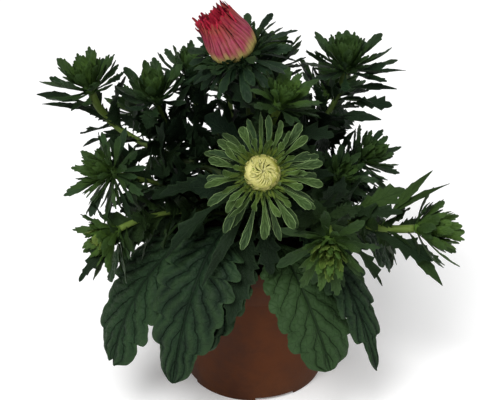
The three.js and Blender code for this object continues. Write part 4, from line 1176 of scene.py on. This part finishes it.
def smallLeaves(head, index, curve):
    # Leaves of the side shoots that fill the plant between the main ones, and the inner ones.
    blades = []
    for i in range(smallPerStem):
        key = index * 37 + i + 3000
        t = 0.12 + 0.74 * (i + draw(key)) / smallPerStem
        place = frameAt(bezier(curve, t), bezierHeading(curve, t))
        outward = outwardAt(place, i * goldenAngle + index * 77)
        theta = math.radians(48 + 22 * sway(key + 0.2))
        heading = place["axis"] * math.cos(theta) + outward * math.sin(theta)
        length = (34 - 14 * t) * (1 + 0.25 * sway(key + 0.3))
        side = turned(np.cross(place["axis"], outward), heading, np.radians(25 * sway(key + 0.5)))
        broad = draw(key + 0.6) > 0.4
        blades.append({
            "root": place["at"], "tip": place["at"] + heading * length, "side": side,
            "bend": 30 + 20 * sway(key + 0.4), "width": 15.0 - 3 * t if broad else 6.5,
            "cup": plant["leafCup"], "blade": "toothed" if broad else "lance", "key": key,
            "pointed": 0.6, "teeth": 0.6, "fresh": head["fresh"] * 0.4,
        })
    for i, (name, t, tip, width, roll) in enumerate(innerLeaves):
        if name == head["name"]:
            root, tip = bezier(curve, t), np.array(tip, float)
            side = turned(unit(np.cross(upward, tip - root)), unit(tip - root), np.radians(roll))
            blades.append({
                "root": root, "tip": tip, "side": side, "bend": 34.0, "width": width, "wedge": 0.5,
                "cup": plant["leafCup"], "blade": "toothed", "key": 4800 + i, "teeth": 0.7, "fresh": 0.1,
            })
    return blades


def buildStem(head, index, curve):
    # The stem's own tube, ridged and a little thicker under the head, then its leaves.
    node = "stem_" + head["name"] if index else "main_stem"
    t = np.linspace(0, 1, 40)
    centres = bezier(curve, t)
    if index:
        slender = 0.95 if head["name"] in stoutStems else 0.68
        radii = plant["sideStemRadius"] * slender * (1 + 0.3 * eased(t, 0.7, 0.98))
        centres = np.concatenate([[centres[0] - unit(centres[1] - centres[0]) * 4.2], centres])
        radii = np.concatenate([[radii[0] * 1.15], radii])
    else:
        radii = plant["mainStemRadius"] * (1.0 - 0.12 * t)
    rings = tubeRings(centres, radii, 24, ribs=8, ribDepth=0.07)
    ends = np.array([[centres[0], centres[-1]]])
    tube = plainBatch(rings[None], ends, tint=draw(index + 300), fresh=min(1.0, 1.5 * head["fresh"]))
    addSurface(node + "_stalk", [tube], stemGreen, "leaf_green", node)
    blades = stemBlades(head, index, curve)
    found = len(blades)
    blades += smallLeaves(head, index, curve)
    addSurface(node + "_leaves", bladeBatches(blades), leafGreen, "leaf_green", node)
    return found, plant["leavesPerStem"] + len(head["leaves"])


foundLeaves = np.sum([buildStem(head, index, curves[index]) for index, head in enumerate(heads)], axis=0)
print("stems and leaves built:", foundLeaves[0], "of", foundLeaves[1])


# Each: where its stalk crosses the rim, tip, width, height of arch, roll, tint, how fresh, how blunt, depth
# of the lobes, how saw-like they are, and depth of the cleft in the tip.
basalLabels = ("rim", "tip", "width", "arch", "roll", "tint", "fresh", "blunt", "depth", "saw", "cleft")
basalLeaves = [
    (221, (-84, -59, 40), 44, 3, -8, 0.75, 0.05, 0.9, 0.17, 1.5, 4.0),
    (251, (-47, -85, 46), 47, 17, -4, 0.2, 0.0, 0.35, 0.21, 1.9, 0.0),
    (264, (-29, -80, 64), 33, 5, 0, 0.1, 0.0, 0.3, 0.2, 1.7, 0.0),
    (285, (44, -82, 53), 43, 3, 2, 0.75, 0.5, 1.0, 0.13, 1.7, 0.0),
    (298, (72, -67, 41), 30, 18, 8, 0.2, 0.0, 0.0, 0.26, 3.4, 0.0),
    (350, (84, -2, 70), 40, 3, 0, 0.1, 0.0, 0.4, 0.2, 2.0, 1.5),
    (20, (88, 38, 46), 44, 13, 4, 0.5, 0.2, 0.6, 0.24, 1.6, 0.0),
    (52, (56, 78, 50), 44, 3, -4, 0.3, 0.1, 0.3, 0.2, 1.8, 2.0),
    (84, (8, 96, 44), 44, 13, 0, 0.6, 0.2, 0.7, 0.26, 1.4, 0.0),
    (116, (-44, 84, 48), 44, 3, 4, 0.4, 0.1, 0.5, 0.18, 2.2, 1.0),
    (148, (-84, 50, 44), 44, 13, -4, 0.5, 0.2, 0.2, 0.24, 1.6, 0.0),
    (184, (-90, 0, 62), 40, 3, 0, 0.3, 0.1, 0.6, 0.22, 1.8, 2.0),
]
basalLooks = {
    "rows": 150, "stalkRows": 12, "bladeStart": 0.36, "bladeFull": 0.44, "last": 0.995, "points": 25,
    "thickness": 0.9, "stalk": 3.0, "lobes": 10.81, "slant": 2.3, "start": 3.0, "swell": 1.9, "groove": 1.0,
    "pucker": 0.5, "tooth": 2.6, "swellFrom": 2.4, "grooveWidth": 1.5, "wave": 1.2,
}

# The leaf's outline without its lobes, for a tapering and for a blunt tip.
basalPlaces = [0.0, 0.04, 0.2, 0.36, 0.4, 0.44, 0.5, 0.58, 0.68, 0.78, 0.86, 0.92, 0.965, 1.0]
basalTapering = [0.07, 0.075, 0.06, 0.07, 0.3, 0.62, 0.88, 1.02, 1.03, 0.93, 0.74, 0.52, 0.3, 0.04]
basalBlunted = [0.07, 0.075, 0.06, 0.07, 0.3, 0.6, 0.86, 1.0, 1.05, 1.03, 0.95, 0.82, 0.6, 0.16]


def basalCurve(rim, tip, arch):
    # From the plant's foot over the rim and down outside to the tip, higher and wider with its arch.
    tip = np.array(tip, float)
    overRim = np.array([math.cos(math.radians(rim)), math.sin(math.radians(rim)), 0])
    flat = unit(tip * (1, 1, 0))
    outside = unit(flat + (overRim - flat) * 0.6)
    reach = math.hypot(tip[0], tip[1])
    return np.array([
        overRim * (8 + 0.3 * arch) + upward * (95 + 0.35 * arch), overRim * 38 + upward * (124 + arch),
        outside * (reach - 13 + 0.3 * arch) + upward * (107 + 1.3 * arch), tip,
    ])


def buildBasalLeaf(number, leaf):
    # The leaf follows its curve; each station is carried sideways by the outline and its lobes, folded
    # down and waved at the edge as the solid is, and the blade swells between the sunken veins.
    looks, index = basalLooks, number - 1
    tip, width, blunt, start = np.array(leaf["tip"], float), leaf["width"], leaf["blunt"], looks["bladeStart"]
    curve = basalCurve(leaf["rim"], tip, leaf["arch"])
    s = np.concatenate([
        np.linspace(0, start, looks["stalkRows"], endpoint=False),
        np.linspace(start, looks["last"], looks["rows"] - looks["stalkRows"]),
    ])
    tapering, blunted = (np.interp(s, basalPlaces, outline) for outline in (basalTapering, basalBlunted))
    share = tapering * (1 - blunt) + blunted * blunt
    blade = eased(s, start, looks["bladeFull"])[:, None]
    forward = bezierHeading(curve, s)
    level = np.repeat(unit(np.array([[-tip[1], tip[0], 0.0]])), len(s), 0)
    across = turned(level, forward, np.full(len(s), math.radians(leaf["roll"])))
    face = -np.cross(across, forward)
    v, side = crossSection(looks["points"])
    edge = np.abs(v)
    sideKey = np.where(v > 0, 0.13, -0.11) * math.sin(index * 2.1 + 1)
    # Phase 0 lies on a vein and a lobe's middle, phase 1/2 in the notch between two lobes.
    climb = s[:, None] * looks["lobes"]
    phase = climb - looks["slant"] * edge - looks["start"] + sideKey * edge
    fromNotch = climb - looks["slant"] - looks["start"] + sideKey + 0.5
    lobe = np.clip(np.sin(math.pi * np.mod(fromNotch, 1) ** leaf["saw"]), 0, 1) ** 0.55
    whichLobe = np.floor(fromNotch)
    uneven = 1 + 0.5 * sway(whichLobe * 1.7 + np.sign(v) * 0.3 + index * 9)
    fine = 0.03 * np.sin(s[:, None] * 190 + index + 3 * np.sign(v)) * (1 - lobe)
    half = share[:, None] * width / 2 * (1 - (leaf["depth"] * uneven * (1 - lobe) - fine) * blade)
    station = np.interp(s, np.linspace(start, 1, 12), np.arange(12))
    wave = (looks["wave"] * np.sin(station * 1.9 + index))[:, None] * v * edge * blade
    fromVein = np.abs(np.mod(phase + 0.5, 1) - 0.5) * 2
    fromMidrib = np.abs(v * half)
    reach = 1 - np.exp(-((fromMidrib / looks["swellFrom"]) ** 2))
    swell = looks["swell"] * np.sin(math.pi / 2 * fromVein) ** 0.8 * reach * (1 - 0.55 * edge**2)
    groove = looks["groove"] * np.exp(-((fromMidrib / looks["grooveWidth"]) ** 2))
    pucker = np.sin(phase * fullTurn * 1.5 + 5 * edge + index)
    pucker = pucker * np.sin(edge * 13 + s[:, None] * 46 + 2 * index)
    relief = (swell + looks["pucker"] * pucker * reach * (1 - edge**4) - groove) * blade
    thick = looks["stalk"] * (1 - blade) + looks["thickness"] * blade
    lift = -0.1 * half * edge * blade + wave + relief + side * thick / 2 * np.sqrt(1 - v * v)
    curl = 0.07 * eased(s, 0.75, 1.0)[:, None] * half * edge
    # The lobes point forward: their edge is carried along the leaf, most towards the tip.
    forwards = eased(s, 0.5, 0.9) * (1 - eased(s, 0.97, 1))
    carried = looks["tooth"] * (lobe - 0.5) * edge**4 * forwards[:, None]
    cleft = leaf["cleft"] * np.exp(-((v / 0.35) ** 2)) * eased(s, 0.9, 0.995)[:, None]
    points = (
        bezier(curve, s)[:, None] + across[:, None] * (half * v)[..., None]
        + face[:, None] * (lift - curl)[..., None] + forward[:, None] * (carried - cleft)[..., None]
    )
    ends = np.array([[curve[0], curve[3] - forward[-1] * leaf["cleft"]]])
    name = f"basal_leaf_{number:02d}"
    batch = ringsOf(points[None], ends, (v + 1) / 2, s, tint=leaf["tint"], fresh=leaf["fresh"])
    addSurface(name + "_blade", [batch], basalGreen, "basal_green", name)


for number, row in enumerate(basalLeaves, 1):
    buildBasalLeaf(number, dict(zip(basalLabels, row)))
print("basal leaves built")


# Layers from the outside in: petals, foot, belly and mouth radius, height, ragged tips, width, how far
# they close over the mouth in front, and whether they are of the pale kind.
petalLabels = ("count", "foot", "belly", "mouth", "height", "ragged", "width", "close", "pale")
petalLayers = [dict(zip(petalLabels, row)) for row in [
    (34, 7.8, 13.6, 9.0, 24.5, 4, 3.9, 3.0, True),
    (32, 6.8, 12.7, 8.6, 25.6, 5, 3.7, 3.2, True),
    (34, 5.0, 10.8, 8.0, 23.4, 6, 2.8, 4.6, False),
    (26, 3.6, 7.6, 6.4, 22.5, 7, 2.6, 3.6, False),
    (16, 1.6, 4.2, 3.8, 20, 6, 2.4, 1.5, False),
]]
# How far the tips swing to one side, and how tall the petals are round the flower, from the left
# (-180 degrees) over the front (-90), the right and the back to the left again.
petalLean = np.array([-3.5, 0.0, 0.0])
petalSides = [-180, -120, -60, 0, 50, 80, 110, 140, 180]
petalTall = [0.96, 0.86, 0.82, 0.95, 1.05, 0.97, 0.84, 0.9, 0.96]


def petalBatch(place, layer, seed):
    # Strap petals that stand round the axis: the radius goes from foot to belly to mouth as they
    # rise, longer on one side and closing over the mouth in front, and each tip ends in uneven points.
    s = np.array([0, 0.04, 0.09, 0.16, 0.25, 0.36, 0.48, 0.6, 0.71, 0.8, 0.87, 0.92, 0.96, 0.985])
    share = np.array([0.8, 0.9, 0.97, 1.0, 1.0, 1.0, 1.0, 1.0, 0.96, 0.88, 0.76, 0.62, 0.42, 0.2])
    count = layer["count"]
    key = np.arange(count) + seed * 50.0 + 4000
    phi = np.arange(count) * 360 / count + seed * 11 + 2 * sway(key)
    out = outwardAt(place, phi)
    height = layer["height"] + layer["ragged"] * (0.1 + 0.85 * draw(key + 0.2))
    height = height * np.interp(np.degrees(np.arctan2(out[:, 1], out[:, 0])), petalSides, petalTall)
    places = [0, 0.06, 0.15, 0.3, 0.45, 0.65, 0.85, 1]
    foot, belly, mouth = layer["foot"], layer["belly"], layer["mouth"]
    reach = [foot, foot + 0.62 * (belly - foot), foot + 0.93 * (belly - foot), belly, belly * 0.98,
             belly + 0.42 * (mouth - belly), belly + 0.8 * (mouth - belly), mouth]
    high = (s**4)[None]
    radius = np.interp(s, places, reach)[None] + 0.12 * sway(key + 0.4)[:, None]
    radius = radius + high * 2.2 * sway(key + 0.5)[:, None]
    closing = 2.4 * np.clip(-out[:, 0], 0, 1) - layer["close"] * np.clip(-out[:, 1], 0, 1)
    radius = radius + closing[:, None] * high
    outward = out[:, None]
    twist = outwardAt(place, phi + 90)[:, None]
    rise = height[:, None] * s
    centre = place["at"] + outward * radius[..., None] + place["axis"] * rise[..., None]
    centre = centre + twist * ((s**2)[None, :, None] * 0.8 * sway(key + 0.6)[:, None, None])
    centre = centre + petalLean * (s**1.8)[:, None]
    v, side = crossSection(5)
    half = (layer["width"] * (0.95 + 0.1 * sway(key + 0.7)))[:, None] * share / 2
    bulge = 0.36 * (1 - v * v) * np.minimum(half, 1.6)[..., None] / 1.6
    thick = side * 0.2 * np.sqrt(1 - v * v)
    tipped = (0.16 + 0.1 * sway(key + 0.75)[:, None, None]) * v  # one edge lies over its neighbour
    rings = (
        centre[:, :, None] + twist[:, :, None] * (half[..., None] * v)[..., None]
        + outward[:, :, None] * (bulge + thick + tipped - 0.2 * np.abs(v))[..., None]
    )
    notch = eased(s, 0.85, 0.97)[None, :, None] * np.abs(v) * sway(key + 0.8)[:, None, None] * 1.6
    rings = rings + place["axis"] * notch[..., None]
    top = centre[:, -1] + place["axis"] * (0.02 * height)[:, None]
    ends = np.stack([centre[:, 0] - place["axis"] * 0.2, top], 1)
    return ringsOf(rings, ends, (v + 1) / 2, s, tint=draw(key + 0.9), fresh=0.0)


def collarBracts(place, looks):
    # Narrow bracts that stand round the foot of the petals: the inner ones upright, the outer ones
    # leaning out, each with its own bend.
    blades = []
    for i in range(looks["count"]):
        key = i + looks["key"]
        q = (i + 0.5) / looks["count"]
        outward = outwardAt(place, i * goldenAngle + 8 * sway(key))
        aside = np.cross(place["axis"], outward)
        root = place["at"] - place["axis"] * (0.4 + 1.6 * q) + outward * (looks["radius"] + 0.8 * q)
        reach = looks["reach"] * (looks["least"] + (1 - looks["least"]) * q) * (0.7 + 0.6 * draw(key + 0.1))
        rise = looks["rise"] * (1 - 0.4 * q) * (0.75 + 0.5 * draw(key + 0.2))
        tip = root + outward * reach + place["axis"] * rise + aside * 2.6 * sway(key + 0.6)
        blades.append({
            "root": root, "tip": tip, "side": aside, "bend": looks["bend"] + 40 * sway(key + 0.3),
            "width": looks["width"] * (0.75 + 0.5 * q), "cup": 0.3, "blade": "bract", "key": key,
            "pointed": 0.9, "teeth": 0.3, "twist": 40, "curl": 0.14, "fresh": looks["fresh"] * (1 - 0.85 * q),
        })
    return bladeBatches(blades)


def topOf(head):
    return frameAt(head["at"] + head["aim"] * (headHeight(head) + plant["footGap"]), head["aim"])


def buildPinkPetals():
    place = topOf(pinkHead)
    layers = list(enumerate(petalLayers))
    for name, pale, material in (("outer", True, petalPink), ("inner", False, petalCrimsonLit)):
        batches = [petalBatch(place, layer, seed) for seed, layer in layers if layer["pale"] == pale]
        addSurface("pink_petals_" + name, batches, material, "petal_pink", "pink_petals", 180)
    collar = {
        "count": 44, "key": 7400, "radius": 12.2, "reach": 9, "least": 0.5, "rise": 8.5, "bend": 30,
        "width": 3.4, "fresh": 0.15,
    }
    addSurface("pink_collar_bracts", collarBracts(place, collar), bractGreen, "bract_green", "head_pink")


buildPinkPetals()
print("pink petals built")


budSizes = {"radius": 9.3, "height": 8.2}
# Rows of petals from the rim up: how many, where they start and end on the dome in degrees, width and
# how far above the dome.
budRows = [(40, -10, 40, 1.8, 0.0), (36, 4, 54, 1.8, 0.1), (30, 20, 68, 1.7, 0.15), (22, 36, 80, 1.6, 0.2),
           (14, 52, 88, 1.5, 0.2), (8, 68, 89, 1.4, 0.2)]


def domePoint(place, rise, around, radius):
    rise, around = np.radians(rise), np.radians(around)
    outward = place["u"] * np.cos(around)[..., None] + place["v"] * np.sin(around)[..., None]
    height = budSizes["height"] / budSizes["radius"]
    return (place["at"] + outward * (radius * np.cos(rise))[..., None]
            + place["axis"] * (radius * height * np.sin(rise))[..., None])


def budBatch(place, count, low, high, width, sunk, seed):
    # Petals that lie over the dome: each climbs from low to high while it goes round a little, its
    # middle raised above its edges and its tip standing free.
    s = np.array([0, 0.1, 0.25, 0.42, 0.6, 0.75, 0.87, 0.95])
    share = np.array([0.75, 0.9, 1, 1, 0.92, 0.78, 0.58, 0.3])
    key = np.arange(count) + seed * 60.0 + 6000
    around = (np.arange(count) * 360 / count + seed * 7 + 5 * sway(key))[:, None]
    around = around + 38 * s * (0.1 + 1.5 * draw(key + 0.1))[:, None]
    rise = low + (high - low) * s[None] * (0.9 + 0.1 * draw(key + 0.2))[:, None]
    raised = budSizes["radius"] + sunk - 0.5 + (0.3 + 1.5 * (s**2)[None]) * draw(key + 0.3)[:, None]
    centre = domePoint(place, rise, around, raised)
    normal = unit(centre - place["at"])
    forward = unit(np.gradient(centre, axis=1))
    across = unit(np.cross(forward, normal))
    v, side = crossSection(5)
    half = width * share[None] / 2 * (0.9 + 0.15 * draw(key + 0.4))[:, None]
    lift = 0.75 * (1 - v * v) + side * 0.2 * np.sqrt(1 - v * v) - 0.25 * np.abs(v) + 0.2 * v
    rings = (
        centre[:, :, None] + across[:, :, None] * (half[..., None] * v)[..., None]
        + normal[:, :, None] * (lift * np.minimum(1, half[..., None]))[..., None]
    )
    ends = np.stack([centre[:, 0] - forward[:, 0] * 0.3, centre[:, -1] + forward[:, -1] * 0.5], 1)
    return ringsOf(rings, ends, (v + 1) / 2, s, tint=draw(key + 0.5), fresh=0.0)


def buildPaleBud():
    place = topOf(paleHead)
    batches = [domeBatch(place, budSizes["radius"] * 0.93, budSizes["height"] * 0.9, 32, 0.0)]
    batches += [budBatch(place, *row, seed) for seed, row in enumerate(budRows)]
    addSurface("pale_bud_petals", batches, budPale, "bud_pale", "pale_bud", 180)
    collar = {
        "count": 110, "key": 7000, "radius": 8.4, "reach": 9.5, "least": 0.0, "rise": 8.0, "bend": -10,
        "width": 1.2, "fresh": 0.9,
    }
    addSurface("pale_bud_bracts", collarBracts(place, collar), fringeGreen, "bract_green", "head_01")


buildPaleBud()
print("pale bud built")


cameraSetup = {
    "target": (-2.4, 0.0, 118.0), "elevation": 30.0, "distance": 800.0, "sensor": 36, "lens": 36 * 1335 / 500,
}
floorReach = 3


def buildFloor():
    mesh = bpy.data.meshes.new("floor")
    corners = [(x * floorReach, y * floorReach, 0) for x, y in ((-1, -1), (1, -1), (1, 1), (-1, 1))]
    mesh.from_pydata(corners, [], [(0, 1, 2, 3)])
    floor = addObject("floor", mesh)
    material, _, shader = emptyMaterial("paleFloor", 0.9, 0.0)
    shader.inputs["Base Color"].default_value = (0.95, 0.95, 0.95, 1)
    shader.inputs["Emission Color"].default_value = (1, 1, 1, 1)
    shader.inputs["Emission Strength"].default_value = 0.15
    mesh.materials.append(material)


def addAreaLight(name, place, aimAt, size, power):
    light = bpy.data.lights.new(name, "AREA")
    light.size, light.energy = size, power
    lamp = addObject(name, light)
    lamp.location = place
    direction = np.array(aimAt) - np.array(place)
    reach = math.hypot(direction[0], direction[1])
    lamp.rotation_euler = (math.atan2(reach, -direction[2]), 0, math.atan2(-direction[0], direction[1]))


def buildLightAndCamera():
    scene = bpy.context.scene
    scene.view_settings.view_transform = "Standard"
    world = bpy.data.worlds.new("studio")
    world.use_nodes = True
    background = world.node_tree.nodes["Background"].inputs
    background["Color"].default_value = (1, 1, 1, 1)
    background["Strength"].default_value = 0.25
    scene.world = world
    addAreaLight("softKey", (-0.5, -1.1, 1.6), (0, 0, 0.1), 1.0, 38)
    addAreaLight("softBack", (0.5, 1.3, 1.1), (0, 0, 0.1), 1.2, 8)
    addAreaLight("softFill", (1.3, -0.5, 1.0), (0, 0, 0.1), 1.0, 6)
    tilt = math.radians(cameraSetup["elevation"])
    forward = np.array([0, math.cos(tilt), -math.sin(tilt)])
    camera = bpy.data.cameras.new("photoView")
    camera.lens, camera.sensor_width = cameraSetup["lens"], cameraSetup["sensor"]
    holder = addObject("photoView", camera)
    place = np.array(cameraSetup["target"]) - forward * cameraSetup["distance"]
    holder.location = place * metresPerMillimetre
    holder.rotation_euler = (math.pi / 2 - tilt, 0, 0)
    scene.camera = holder


buildFloor()
buildLightAndCamera()
print("floor, light and camera built")
